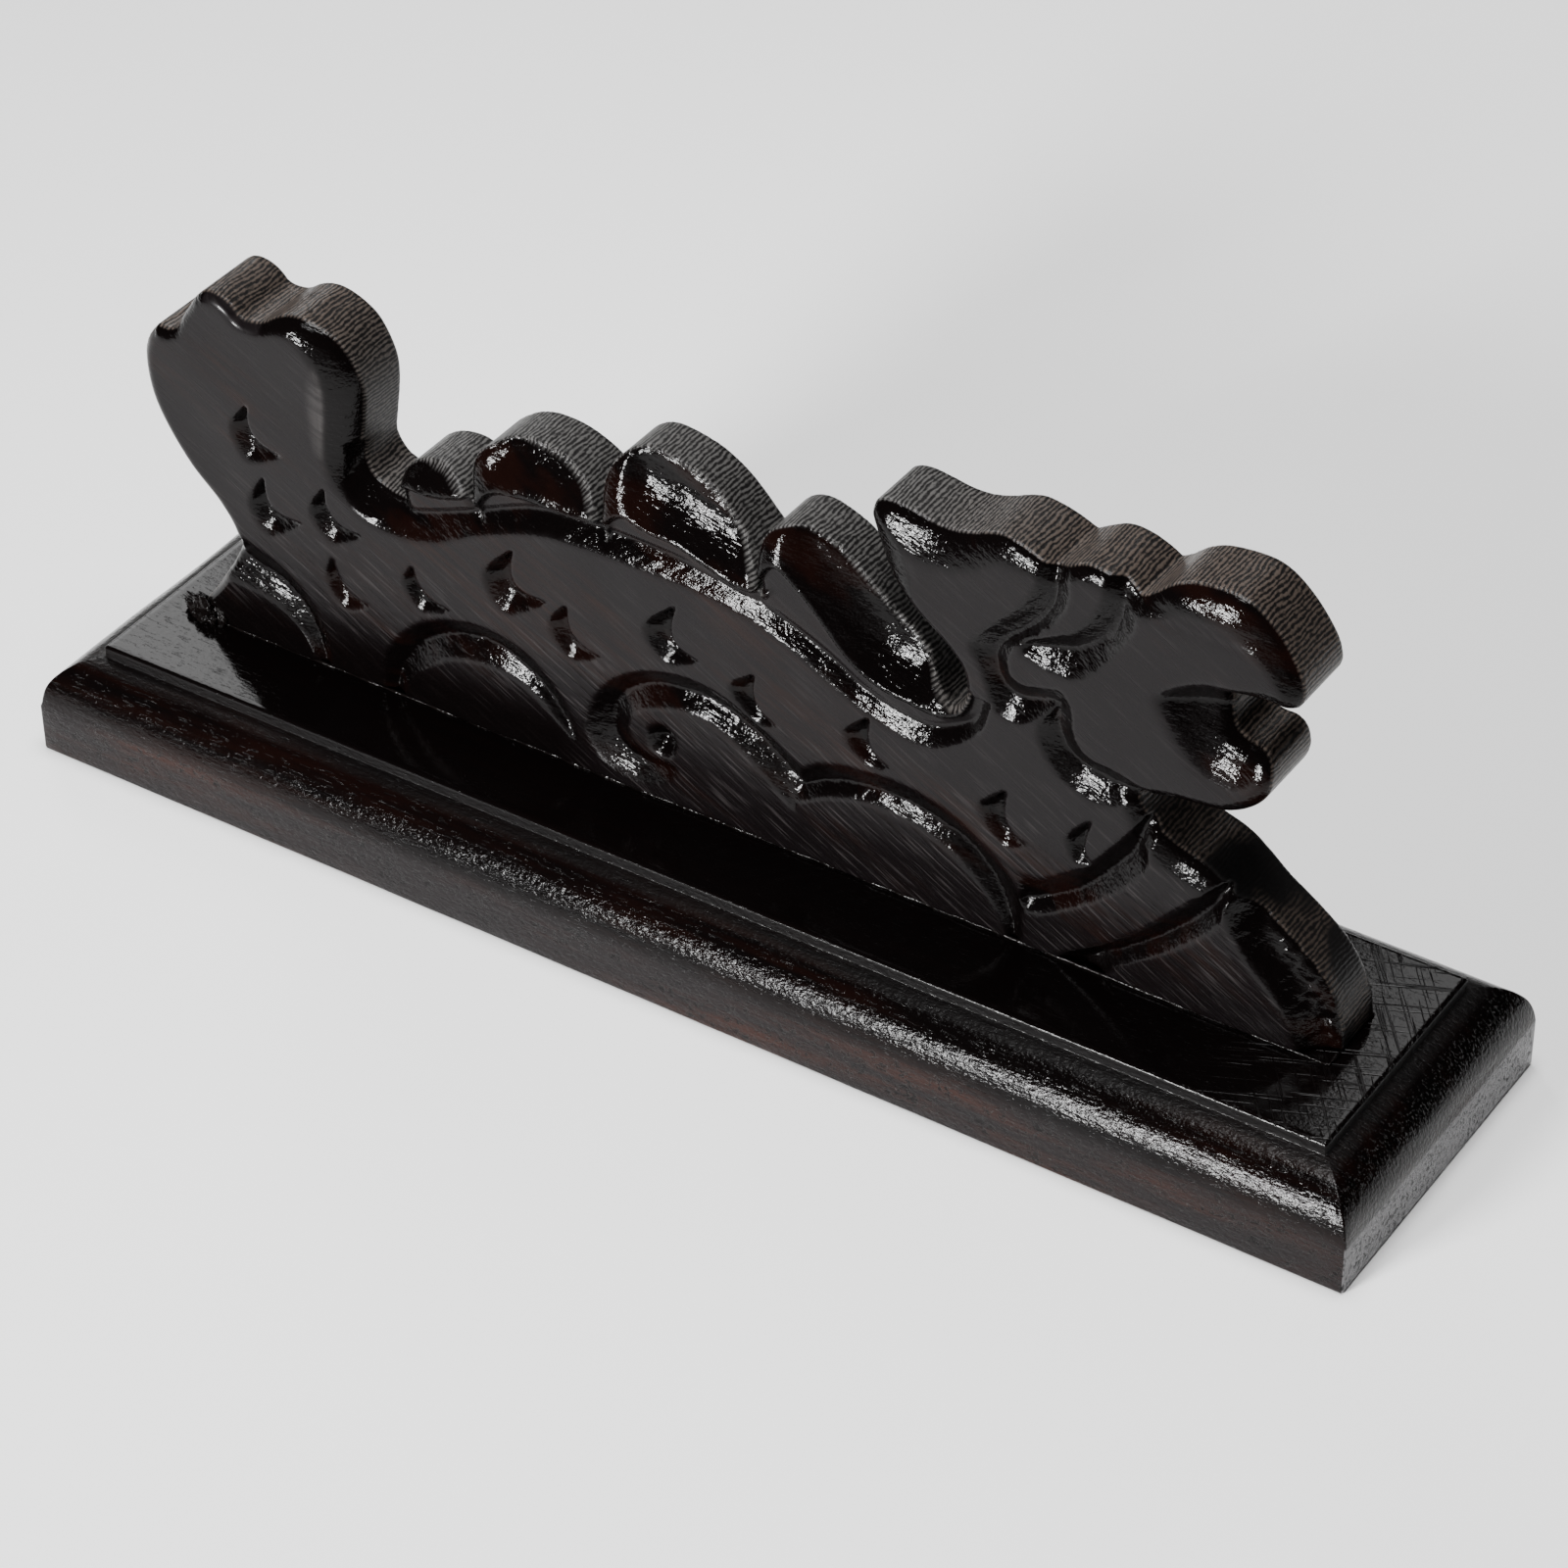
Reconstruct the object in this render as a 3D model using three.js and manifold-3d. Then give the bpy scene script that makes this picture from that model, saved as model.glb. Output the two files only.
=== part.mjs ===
// Brush rest: a flat board, sawn to the outline of a crouching dragon and carved in
// relief on both faces, stands on edge on a moulded base board. Two countersunk wood
// screws come up through the base board into the dragon's foot.
//
// Millimetres, +Z up. The origin is the centre of the base board's underside. +X runs
// along the base towards the dragon's head, and -Y is the front.

import * as THREE from 'three';
import { mergeVertices } from 'three/addons/utils/BufferGeometryUtils.js';
import Module from 'manifold-3d';

const wasm = await Module();
wasm.setup();

// ---- driving dimensions -------------------------------------------------------------

const BASE_LENGTH = 200;
const BASE_WIDTH = 50;
const EDGE_HEIGHT = 7.3;          // straight edge below the round-over
const ROUND_RADIUS = 6.7;         // quarter round along all four sides
const PANEL_TOP = 15.8;           // raised panel that the dragon stands on

const BOARD_THICKNESS = 12;       // the dragon's board, front face to back face
const EASED_EDGE = 0.8;           // chamfer where its faces meet its sawn edge
const FOOT_GAP = 0.3;             // glue line between the foot and the panel
const FOOT_Z = PANEL_TOP + FOOT_GAP;
const SAWN_FOOT_Z = FOOT_Z - 2;   // the outline runs on below the foot and is cut level

const SCREW_X = { tail_screw: -58, head_screw: 48 };
const SCREW_LENGTH = 25;
const SHANK_RADIUS = 1.75;
const HEAD_RADIUS = 3.4;
const HEAD_HEIGHT = 2.2;
const HEAD_RECESS = 1;            // head sits this far above the underside
const POINT_LENGTH = 3;
const HOLE_CLEARANCE = 0.35;
const SLOT_WIDTH = 0.9;
const SLOT_DEPTH = 0.8;

const HOLE_SIDES = 28;
const OUTLINE_STEP = 1.4;         // straight pieces that follow the sawn outline
const RELIEF_STEP = 1.6;          // straight pieces that follow a relief cut
const CUT_MARGIN = 1;             // how far a cutter stands out of the face it cuts

// ---- the dragon's outline, as (x, z) on the board -----------------------------------
// Each run is a smooth curve through its points; neighbouring runs meet at a corner.

const OUTLINE = [
  // chest and bent foreleg, up to the throat
  [[86.9, SAWN_FOOT_Z], [86.9, 16.2], [86.5, 19.4], [85, 23.4], [83, 26.4], [80.5, 28.7], [77.5, 30.9],
    [74.5, 32.9], [71.5, 35.4], [69.5, 36.9], [67.5, 37.9], [64.5, 38.9], [61.8, 40.4],
    [59.6, 42.6], [58.3, 44.8]],
  // lower jaw and open mouth
  [[58.3, 44.8], [61, 46], [65, 46.9], [69.6, 47.3], [71.9, 48.1], [74, 49.6], [75.6, 51.6],
    [76.1, 53.8], [75.5, 56], [74, 57.1], [72, 57.2], [70, 58], [68.9, 60], [69, 62.3],
    [70.3, 64.2], [72.5, 65.3], [75, 65.6], [77.2, 65.3]],
  // snout
  [[77.2, 65.3], [78.8, 65.8], [79.5, 67.3], [79.1, 69.5], [77.9, 71.7], [75.6, 74.6],
    [72.6, 77.1], [69.5, 78.1], [64.6, 77.8], [61.6, 76.7], [59.1, 74.7], [57.6, 73.8]],
  // brow
  [[57.6, 73.8], [56.1, 74.7], [53.6, 75.6], [50.6, 75.8], [48.1, 74.7], [46.1, 73.5]],
  // top of the horn
  [[46.1, 73.5], [42.6, 74.8], [39.1, 75.4], [36.6, 74.8], [34.6, 73.9], [31.6, 73],
    [28.6, 72.9], [25.6, 73.4], [22.6, 73.7], [20.4, 73], [19.7, 71.2]],
  // underside of the horn, then back along the top of the fourth fin
  [[19.7, 71.2], [20.9, 68], [23, 64.4], [27.2, 60.8], [31.8, 57.2], [34.2, 54.2],
    [34.5, 51], [33.4, 48.4], [31.7, 47.7], [30, 48.8], [28.2, 50.7], [25.8, 52.9],
    [22.5, 55.2], [18.9, 58.3], [14.6, 61.8], [13, 62.7], [10.5, 63.7], [8.3, 64.1],
    [6.2, 63.6], [4.4, 62], [3.7, 59], [4, 56], [4.3, 53]],
  // third fin
  [[4.3, 53], [3.2, 56], [0.5, 59.1], [-1.5, 61.3], [-3.9, 63.5], [-7.5, 65.6],
    [-11.1, 66.6], [-13.6, 66.9], [-15.6, 66.6], [-17.7, 65.2], [-19.6, 62.5],
    [-19.9, 59.5], [-19.4, 56], [-19, 52.8]],
  // second fin
  [[-19, 52.8], [-20.3, 56], [-21.9, 58], [-23.6, 59.4], [-25.5, 60.4], [-27.9, 61.3],
    [-30.4, 61.7], [-32.9, 61.7], [-35.3, 61.1], [-37.4, 59.9], [-39.5, 58.1],
    [-40.4, 56.2], [-40.2, 53.8], [-39.4, 51], [-38.8, 48.6]],
  // first fin
  [[-38.8, 48.6], [-39.9, 50.9], [-41.5, 52.5], [-43.8, 53.6], [-45.8, 53.9],
    [-48.6, 53.4], [-51, 51.9], [-52.2, 50], [-52.3, 47.6], [-52, 46.2]],
  // hollow before the tail, and the tail's two lobes
  [[-52, 46.2], [-55, 46.2], [-57.5, 46.9], [-59.2, 49.4], [-59, 52.3], [-58.5, 55.8],
    [-58.2, 59.3], [-58.5, 61.8], [-59.5, 64.3], [-61.2, 66.8], [-63.7, 68.4],
    [-66.2, 69.2], [-68.2, 69.2], [-70.2, 68.5], [-72.2, 67.2], [-74.2, 66.8],
    [-75.7, 67], [-76.7, 68], [-78.2, 68.9], [-80.1, 69.3], [-81.6, 68.9], [-83.1, 67.5],
    [-84.1, 65.9], [-85.3, 64], [-86.5, 61.8]],
  // shoulder cut into the tail's outer edge
  [[-86.5, 61.8], [-88, 61], [-89.8, 61.1]],
  // outer edge of the tail, down to the hind foot
  [[-89.8, 61.1], [-91.6, 58.6], [-92.4, 55.2], [-91.7, 50], [-89.5, 45.5], [-86, 40.5],
    [-82, 36.5], [-79.7, 33], [-79.4, 31]],
  [[-79.4, 31], [-80.5, 27], [-83, 22.5], [-85.5, 19], [-87.5, 15.8],
    [-88.4, SAWN_FOOT_Z]],
];

// ---- relief, the same on both faces --------------------------------------------------

// Crescent scale cuts: upper tip, outermost point, lowest point, right tip.
const CRESCENT_DEPTH = 1.6;
const CRESCENTS = [
  [[-75.2, 54.2], [-78.3, 49.8], [-75.5, 44.8], [-69.3, 48]],
  [[-73.3, 43.5], [-76.2, 38.5], [-73, 34], [-67, 38.2]],
  [[-63.3, 45.4], [-66, 41], [-62.5, 36.7], [-57, 39.8]],
  [[-62.8, 34.5], [-64.1, 30.5], [-61, 26.5], [-56.6, 29]],
  [[-49.5, 38.2], [-51.2, 35], [-48.5, 31], [-43.2, 33.2]],
  [[-33, 47], [-38, 41.5], [-34.5, 36.2], [-27.4, 40.7]],
  [[-24.8, 41.5], [-27.8, 37.5], [-24.5, 32.7], [-19.4, 35.2]],
  [[-7.8, 48], [-13, 42.8], [-9.5, 38.2], [-4, 40.5]],
  [[4, 42], [0, 38.5], [4, 34], [7.5, 34.8]],
  [[21, 42.2], [16.9, 38], [21, 34.2], [24.2, 35.2]],
  [[40.8, 39], [36.7, 34.8], [41, 30], [44, 31.5]],
  [[53, 39.5], [49.2, 35.5], [51, 31.8], [53.5, 32.5]],
];

// Grooves: a smooth line, the groove's width and its depth.
const GROOVES = [
  // spine line beside the fins, and the slope between it and the body
  { line: [[-57, 44.5], [-50.5, 46.6], [-45, 48], [-40, 49.8], [-30, 54], [-22, 55.4],
    [-12, 55.5], [-3, 54.4], [5, 53], [15, 49], [25, 45.2], [31, 45.4], [36, 49.2]],
  width: 1.6, depth: 2.2 },
  { line: [[-58, 43], [-50, 43.6], [-43, 45.6], [-35, 50], [-27, 52.6], [-12, 53.2],
    [-2, 52.8], [7, 50.6], [16, 46.6], [25, 43], [32, 43.4], [37.5, 48]],
  width: 3, depth: 1 },
  // cloud scrolls along the foot, outlined outside and inside
  { line: [[-77, 30], [-71, 28.5], [-67, 25], [-64.6, 20.5]], width: 1.6, depth: 2 },
  { line: [[-55.5, 18], [-55.3, 22], [-52.5, 26], [-48, 30], [-42, 32.3], [-36, 32.6],
    [-31, 31], [-27, 27.5], [-24.5, 22.5]], width: 1.8, depth: 2.2 },
  { line: [[10.5, 30.3], [5, 33.5], [-1, 36.6], [-8, 37.2], [-15, 35], [-20, 30.5],
    [-22.3, 24.5], [-20.5, 19.5]], width: 1.8, depth: 2.2 },
  { line: [[10.5, 30.3], [17, 33], [25, 33.8], [32, 32.4], [39, 28.3], [43, 23.5]],
    width: 1.8, depth: 2.2 },
  // foreleg
  { line: [[45, 25], [51, 28], [55, 32], [58.2, 37], [59.9, 41.3]], width: 2.6, depth: 2.4 },
  { line: [[52, 18], [58, 22], [64, 27], [69, 32.5], [71.2, 35.5]], width: 2.6, depth: 2.4 },
  // curls of the mane behind the eye
  { line: [[46.3, 73], [47.1, 70], [45, 66.6], [41, 62.9], [39, 60.5], [39, 57],
    [41, 54.4], [45, 54.4], [48.2, 55.6]], width: 1.4, depth: 1.8 },
  { line: [[55.2, 75], [56.3, 72.5], [54.5, 68], [51, 64.7], [46, 62.6]],
    width: 1.6, depth: 1.8 },
  { line: [[48.2, 54.5], [48.3, 50.5], [51, 47.5], [56, 46.6]], width: 1.4, depth: 1.8 },
  // cheek line above the snout
  { line: [[59.5, 73.2], [64, 74.2], [69, 74.4], [73.5, 72.8], [76, 70]],
    width: 2.4, depth: 1.6 },
];

// Hollows: a closed smooth outline and a depth.
const HOLLOWS = [
  // inside the cloud scrolls
  { ring: [[-83, 17.5], [-81, 22.5], [-76, 23.4], [-71, 21.6], [-67, 17.5]], depth: 2.4 },
  { ring: [[-51, 17.5], [-47, 22.6], [-43, 25.2], [-38, 26.4], [-33, 25.6], [-29, 23.4],
    [-26.5, 20], [-28, 17.5]], depth: 2.4 },
  { ring: [[-6, 18], [-7.4, 22], [-6.8, 27.5], [-3, 30.6], [1, 29], [5, 25.6], [8, 22],
    [8, 18]], depth: 2.4 },
  { ring: [[14, 18], [13.4, 24.6], [17, 27], [22, 28.1], [28, 27.4], [33, 25.4],
    [37, 22.2], [39.6, 18]], depth: 2.4 },
  // eye of the big scroll
  { ring: [[-12.6, 25.5], [-11.8, 27.4], [-10, 28.1], [-8.3, 27.3], [-7.6, 25.5],
    [-8.3, 23.6], [-10, 22.9], [-11.8, 23.6]], depth: 3 },
  // corner of the mouth
  { ring: [[60, 57], [62, 61], [66.4, 62.6], [69, 60], [71, 56.6], [73, 54.8], [70, 51.6],
    [65, 51.4], [61.5, 53.4]], depth: 2.6 },
  // under the jaw
  { ring: [[45.5, 49.8], [47.6, 46.2], [51.6, 44.2], [56.4, 44.8], [56.5, 43],
    [52.5, 41.9], [48.4, 43.4], [45.6, 46.6]], depth: 2 },
  // open side of the shin
  { ring: [[74.6, 31], [79.5, 29], [83, 25.4], [84.8, 20], [83.4, 17.6], [81.6, 18.6],
    [79.6, 22.5], [76, 26.4]], depth: 3 },
  // scoop at the tip of the horn
  { ring: [[22.4, 71.6], [26, 68], [30, 66.8], [35, 68], [38, 70.6], [34, 71.4],
    [29, 70.6], [25, 71.6]], depth: 1.8 },
  // facet inside the second curl
  { ring: [[43, 60.2], [46, 61.6], [49.4, 62], [49, 59.4], [45.6, 59.4]], depth: 1.6 },
  // long slope inside the tail
  { ring: [[-62.4, 62], [-62.6, 55], [-61.6, 49], [-60.2, 50], [-60, 56], [-60, 62]],
    depth: 1.2 },
];

// ---- helpers -------------------------------------------------------------------------

function vectors(points) {
  return points.map(([x, z]) => new THREE.Vector2(x, z));
}

function smoothLine(points, step = RELIEF_STEP) {
  const curve = new THREE.SplineCurve(vectors(points));
  return curve.getSpacedPoints(Math.max(2, Math.round(curve.getLength() / step)));
}

// A smooth closed ring.
function smoothRing(points) {
  const corners = points.map(([x, z]) => new THREE.Vector3(x, z, 0));
  const curve = new THREE.CatmullRomCurve3(corners, true);
  const count = Math.round(curve.getLength() / RELIEF_STEP);
  const lap = curve.getSpacedPoints(Math.max(6, count)).slice(0, -1);
  return lap.map((point) => new THREE.Vector2(point.x, point.y));
}

// The two sides of a strip of the given width along a line, joined into one outline.
function strip(points, width) {
  const line = smoothLine(points);
  const left = [];
  const right = [];
  line.forEach((point, i) => {
    const before = line[Math.max(i - 1, 0)];
    const after = line[Math.min(i + 1, line.length - 1)];
    const along = after.clone().sub(before).normalize();
    const across = new THREE.Vector2(-along.y, along.x).multiplyScalar(width / 2);
    left.push(point.clone().add(across));
    right.push(point.clone().sub(across));
  });
  return [...left, ...right.reverse()];
}

// A crescent: a full outer curve through four points and a flatter one straight back.
function crescent([tip, side, low, end]) {
  const outer = smoothLine([tip, side, low, end]);
  const inner = [0, 1].map((k) => (tip[k] + end[k]) / 4 + (side[k] + low[k]) / 4);
  const back = smoothLine([end, inner, tip]);
  return [...outer, ...back.slice(1, -1)];
}

// Triangles that have shrunk to a line, as at the poles of a turned shape, are left out.
function withoutSlivers(index) {
  const kept = [];
  for (let i = 0; i < index.length; i += 3) {
    const [a, b, c] = index.slice(i, i + 3);
    if (a !== b && b !== c && c !== a) {
      kept.push(a, b, c);
    }
  }
  return kept;
}

function solid(geometry) {
  const bare = geometry.clone();
  bare.deleteAttribute('normal');
  bare.deleteAttribute('uv');
  const merged = mergeVertices(bare, 1e-4);
  const vertProperties = new Float32Array(merged.attributes.position.array);
  const triVerts = new Uint32Array(withoutSlivers(merged.index.array));
  return new wasm.Manifold(new wasm.Mesh({ numProp: 3, vertProperties, triVerts }));
}

function geometryOf(body) {
  const mesh = body.getMesh();
  const geometry = new THREE.BufferGeometry();
  geometry.setAttribute('position', new THREE.BufferAttribute(mesh.vertProperties, 3));
  geometry.setIndex(new THREE.BufferAttribute(mesh.triVerts, 1));
  geometry.computeVertexNormals();
  return geometry;
}

// An outline drawn in x and z, extruded along y from yLow to yHigh.
function slab(outline, yLow, yHigh) {
  const shape = new THREE.Shape(outline);
  const geometry = new THREE.ExtrudeGeometry(shape, {
    depth: yHigh - yLow,
    bevelEnabled: false,
  });
  geometry.rotateX(Math.PI / 2);
  geometry.translate(0, yHigh, 0);
  return geometry;
}

// The same cut in the front face and, mirrored, in the back face.
function cutBothFaces(body, outline, depth) {
  const face = BOARD_THICKNESS / 2;
  const front = solid(slab(outline, -face - CUT_MARGIN, -face + depth));
  const back = solid(slab(outline, face - depth, face + CUT_MARGIN));
  return body.subtract(front).subtract(back);
}

// A turned shape: (radius, z) pairs from the axis and back to it.
function turned(profile) {
  const points = profile.map(([radius, z]) => new THREE.Vector2(radius, z));
  const geometry = new THREE.LatheGeometry(points, HOLE_SIDES);
  geometry.rotateX(Math.PI / 2);
  return geometry;
}

// ---- the dragon ----------------------------------------------------------------------

function dragonBoard() {
  const outline = OUTLINE.flatMap((run) => smoothLine(run, OUTLINE_STEP).slice(0, -1));
  const [[lastX, lastZ]] = OUTLINE.at(-1).slice(-1);
  const shape = new THREE.Shape([...outline, new THREE.Vector2(lastX, lastZ)]);
  const geometry = new THREE.ExtrudeGeometry(shape, {
    depth: BOARD_THICKNESS - 2 * EASED_EDGE,
    bevelEnabled: true,
    bevelThickness: EASED_EDGE,
    bevelSize: EASED_EDGE,
    bevelOffset: -EASED_EDGE,
    bevelSegments: 1,
  });
  geometry.rotateX(Math.PI / 2);
  geometry.translate(0, BOARD_THICKNESS / 2 - EASED_EDGE, 0);
  return geometry;
}

function dragonCarving() {
  const belowFoot = new THREE.BoxGeometry(BASE_LENGTH, BASE_WIDTH, FOOT_Z);
  belowFoot.translate(0, 0, FOOT_Z / 2);
  let body = solid(dragonBoard()).subtract(solid(belowFoot));
  for (const points of CRESCENTS) {
    body = cutBothFaces(body, crescent(points), CRESCENT_DEPTH);
  }
  for (const { line, width, depth } of GROOVES) {
    body = cutBothFaces(body, strip(line, width), depth);
  }
  for (const { ring, depth } of HOLLOWS) {
    body = cutBothFaces(body, smoothRing(ring), depth);
  }
  for (const x of Object.values(SCREW_X)) {
    body = body.subtract(solid(screwHole().translate(x, 0, 0)));
  }
  return geometryOf(body);
}

// ---- the base board ------------------------------------------------------------------

// Half the moulding's height profile on each side of a panel of the given width.
function mouldingProfile(width) {
  const edge = width / 2;
  const panel = edge - ROUND_RADIUS;
  const shape = new THREE.Shape();
  shape.moveTo(-edge, 0);
  shape.lineTo(edge, 0);
  shape.lineTo(edge, EDGE_HEIGHT);
  shape.absarc(panel, EDGE_HEIGHT, ROUND_RADIUS, 0, Math.PI / 2, false);
  shape.lineTo(panel, PANEL_TOP);
  shape.lineTo(-panel, PANEL_TOP);
  shape.lineTo(-panel, EDGE_HEIGHT + ROUND_RADIUS);
  shape.absarc(-panel, EDGE_HEIGHT, ROUND_RADIUS, Math.PI / 2, Math.PI, false);
  shape.lineTo(-edge, 0);
  return shape;
}

// A bar with the moulding's section, along y.
function mouldingBar(width, length) {
  const geometry = new THREE.ExtrudeGeometry(mouldingProfile(width), {
    depth: length,
    bevelEnabled: false,
    curveSegments: 8,
  });
  geometry.rotateX(Math.PI / 2);
  geometry.translate(0, length / 2, 0);
  return geometry;
}

// Two bars crossed at right angles share a block whose corners are mitred.
function baseBoard() {
  const longways = mouldingBar(BASE_LENGTH, BASE_WIDTH);
  const crossways = mouldingBar(BASE_WIDTH, BASE_LENGTH).rotateZ(Math.PI / 2);
  let body = solid(longways).intersect(solid(crossways));
  for (const x of Object.values(SCREW_X)) {
    body = body.subtract(solid(screwHole().translate(x, 0, 0)));
  }
  return geometryOf(body);
}

// ---- the screws ----------------------------------------------------------------------

// Countersink, clearance hole through the base and pilot hole up into the foot.
function screwHole() {
  const headRadius = HEAD_RADIUS + HOLE_CLEARANCE;
  const shankRadius = SHANK_RADIUS + HOLE_CLEARANCE;
  const top = HEAD_RECESS + SCREW_LENGTH + HOLE_CLEARANCE;
  return turned([
    [0, -CUT_MARGIN],
    [headRadius, -CUT_MARGIN],
    [headRadius, HEAD_RECESS],
    [shankRadius, HEAD_RECESS + HEAD_HEIGHT],
    [shankRadius, top - POINT_LENGTH],
    [0, top + HOLE_CLEARANCE],
  ]);
}

// A slotted countersunk wood screw, head down.
function woodScrew() {
  const body = solid(turned([
    [0, HEAD_RECESS],
    [HEAD_RADIUS, HEAD_RECESS],
    [HEAD_RADIUS, HEAD_RECESS + 0.3],
    [SHANK_RADIUS, HEAD_RECESS + HEAD_HEIGHT],
    [SHANK_RADIUS, HEAD_RECESS + SCREW_LENGTH - POINT_LENGTH],
    [0, HEAD_RECESS + SCREW_LENGTH],
  ]));
  const slot = new THREE.BoxGeometry(3 * HEAD_RADIUS, SLOT_WIDTH, 2 * SLOT_DEPTH);
  slot.translate(0, 0, HEAD_RECESS);
  return geometryOf(body.subtract(solid(slot)));
}

// ---- the assembly --------------------------------------------------------------------

const lacqueredWood = { color: 0x1c1312, roughness: 0.25, metalness: 0 };
const plainWood = { color: 0x241714, roughness: 0.3, metalness: 0 };
const zincedSteel = { color: 0x9a9a96, roughness: 0.35, metalness: 1 };

function part(name, geometry, finish) {
  const mesh = new THREE.Mesh(geometry, new THREE.MeshStandardMaterial(finish));
  mesh.name = name;
  return mesh;
}

const brushRest = new THREE.Group();
brushRest.add(part('base_board', baseBoard(), plainWood));
brushRest.add(part('dragon_carving', dragonCarving(), lacqueredWood));
for (const [name, x] of Object.entries(SCREW_X)) {
  const screw = part(name, woodScrew(), zincedSteel);
  screw.position.set(x, 0, 0);
  brushRest.add(screw);
}

export default brushRest;
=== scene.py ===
# Looks for the dragon brush rest: a carved, black-stained hardwood board standing on a
# moulded base board. Shapes are worked out in millimetres and written to Blender in metres.

import math

import bmesh
import bpy
import numpy as np
from mathutils import Euler, Matrix, Vector


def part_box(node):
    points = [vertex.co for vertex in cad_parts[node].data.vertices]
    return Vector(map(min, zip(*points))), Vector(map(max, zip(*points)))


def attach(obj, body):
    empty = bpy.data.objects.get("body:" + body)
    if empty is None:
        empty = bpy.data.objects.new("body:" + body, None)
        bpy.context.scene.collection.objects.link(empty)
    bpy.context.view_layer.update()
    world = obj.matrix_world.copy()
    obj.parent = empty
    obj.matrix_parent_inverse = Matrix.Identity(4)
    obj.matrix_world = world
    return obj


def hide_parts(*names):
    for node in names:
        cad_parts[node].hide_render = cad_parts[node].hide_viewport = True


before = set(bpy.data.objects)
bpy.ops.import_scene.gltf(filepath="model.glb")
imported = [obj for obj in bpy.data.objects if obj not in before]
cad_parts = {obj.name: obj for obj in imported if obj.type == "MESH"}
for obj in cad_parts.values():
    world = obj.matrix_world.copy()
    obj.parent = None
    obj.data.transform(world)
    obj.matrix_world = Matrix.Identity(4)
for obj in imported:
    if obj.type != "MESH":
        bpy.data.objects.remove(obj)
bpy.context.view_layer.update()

MM = 0.001

# ---- sizes in millimetres, some read from the parts in model.glb ----

def node_box(node):
    return [np.array(corner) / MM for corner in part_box(node)]


HALF_LENGTH, HALF_WIDTH, PANEL_TOP = node_box("base_board")[1]
EDGE_HEIGHT = 7.3
ROUND_RADIUS = 6.7
PANEL_ROUND = 0.42

dragon_low, dragon_high = node_box("dragon_carving")
FOOT_Z = dragon_low[2]
HALF_THICK = dragon_high[1]

tail_screw_box = node_box("tail_screw")
head_screw_box = node_box("head_screw")
TAIL_SCREW_X, HEAD_SCREW_X = [(low[0] + high[0]) / 2
                              for low, high in (tail_screw_box, head_screw_box)]
SCREW_BOTTOM, SCREW_TOP = [corner[2] for corner in tail_screw_box]

GRID = 0.2       # spacing of the relief map
VOXEL = 0.36     # spacing of the mesh made from it
WAVE_COUNT = 9   # waves in one random surface
PLAY = 0.02      # how far the carved faces lie inside the board's thickness
THINNEST = 0.25  # least thickness left on either side of the board's middle
PILOT_RADIUS = 2.1
COUNTERSINK_RADIUS = 3.7
FIN_CUT = 5.2    # depth of a fin's dome at its sawn edge
LUMP_CENTRE = np.array([-85.6, -5.3, 16.9])
LUMP_SIZE = np.array([3.5, 1.5, 2.0])

# ---- the dragon's outline, as (x, z); each run is smooth, corners lie between runs ----

CHEST = [
    (86.9, 14.1), (86.9, 16.2), (86.5, 19.4), (85, 23.4), (83, 26.4), (80.5, 28.7), (77.5, 30.9),
    (74.5, 32.9), (71.5, 35.4), (69.5, 36.9), (67.5, 37.9), (64.5, 38.9), (61.8, 40.4), (59.6, 42.6),
    (58.3, 44.8)]
JAW = [
    (58.3, 44.8), (61, 46), (65, 46.9), (69.6, 47.3), (71.9, 48.1), (74, 49.6), (75.6, 51.6),
    (76.1, 53.8), (75.5, 56), (74, 57.1), (72, 57.2), (70, 58), (68.9, 60), (69, 62.3), (70.3, 64.2),
    (72.5, 65.3), (75, 65.6), (77.2, 65.3)]
SNOUT = [
    (77.2, 65.3), (78.8, 65.8), (79.5, 67.3), (79.1, 69.5), (77.9, 71.7), (75.6, 74.6), (72.6, 77.1),
    (69.5, 78.1), (64.6, 77.8), (61.6, 76.7), (59.1, 74.7), (57.6, 73.8)]
BROW = [(57.6, 73.8), (56.1, 74.7), (53.6, 75.6), (50.6, 75.8), (48.1, 74.7), (46.1, 73.5)]
HORN_TOP = [
    (46.1, 73.5), (42.6, 74.8), (39.1, 75.4), (36.6, 74.8), (34.6, 73.9), (31.6, 73), (28.6, 72.9),
    (25.6, 73.4), (22.6, 73.7), (20.4, 73), (19.7, 71.2)]
HORN_UNDER = [
    (19.7, 71.2), (20.9, 68), (23, 64.4), (27.2, 60.8), (31.8, 57.2), (34.2, 54.2), (34.5, 51),
    (33.4, 48.4), (31.7, 47.7)]
FIN_4 = [
    (31.7, 47.7), (30, 48.8), (28.2, 50.7), (25.8, 52.9), (22.5, 55.2), (18.9, 58.3), (14.6, 61.8),
    (13, 62.7), (10.5, 63.7), (8.3, 64.1), (6.2, 63.6), (4.4, 62), (3.7, 59), (4, 56), (4.3, 53)]
FIN_3 = [
    (4.3, 53), (3.2, 56), (0.5, 59.1), (-1.5, 61.3), (-3.9, 63.5), (-7.5, 65.6), (-11.1, 66.6),
    (-13.6, 66.9), (-15.6, 66.6), (-17.7, 65.2), (-19.6, 62.5), (-19.9, 59.5), (-19.4, 56), (-19, 52.8)]
FIN_2 = [
    (-19, 52.8), (-20.3, 56), (-21.9, 58), (-23.6, 59.4), (-25.5, 60.4), (-27.9, 61.3), (-30.4, 61.7),
    (-32.9, 61.7), (-35.3, 61.1), (-37.4, 59.9), (-39.5, 58.1), (-40.4, 56.2), (-40.2, 53.8),
    (-39.4, 51), (-38.8, 48.6)]
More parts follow.
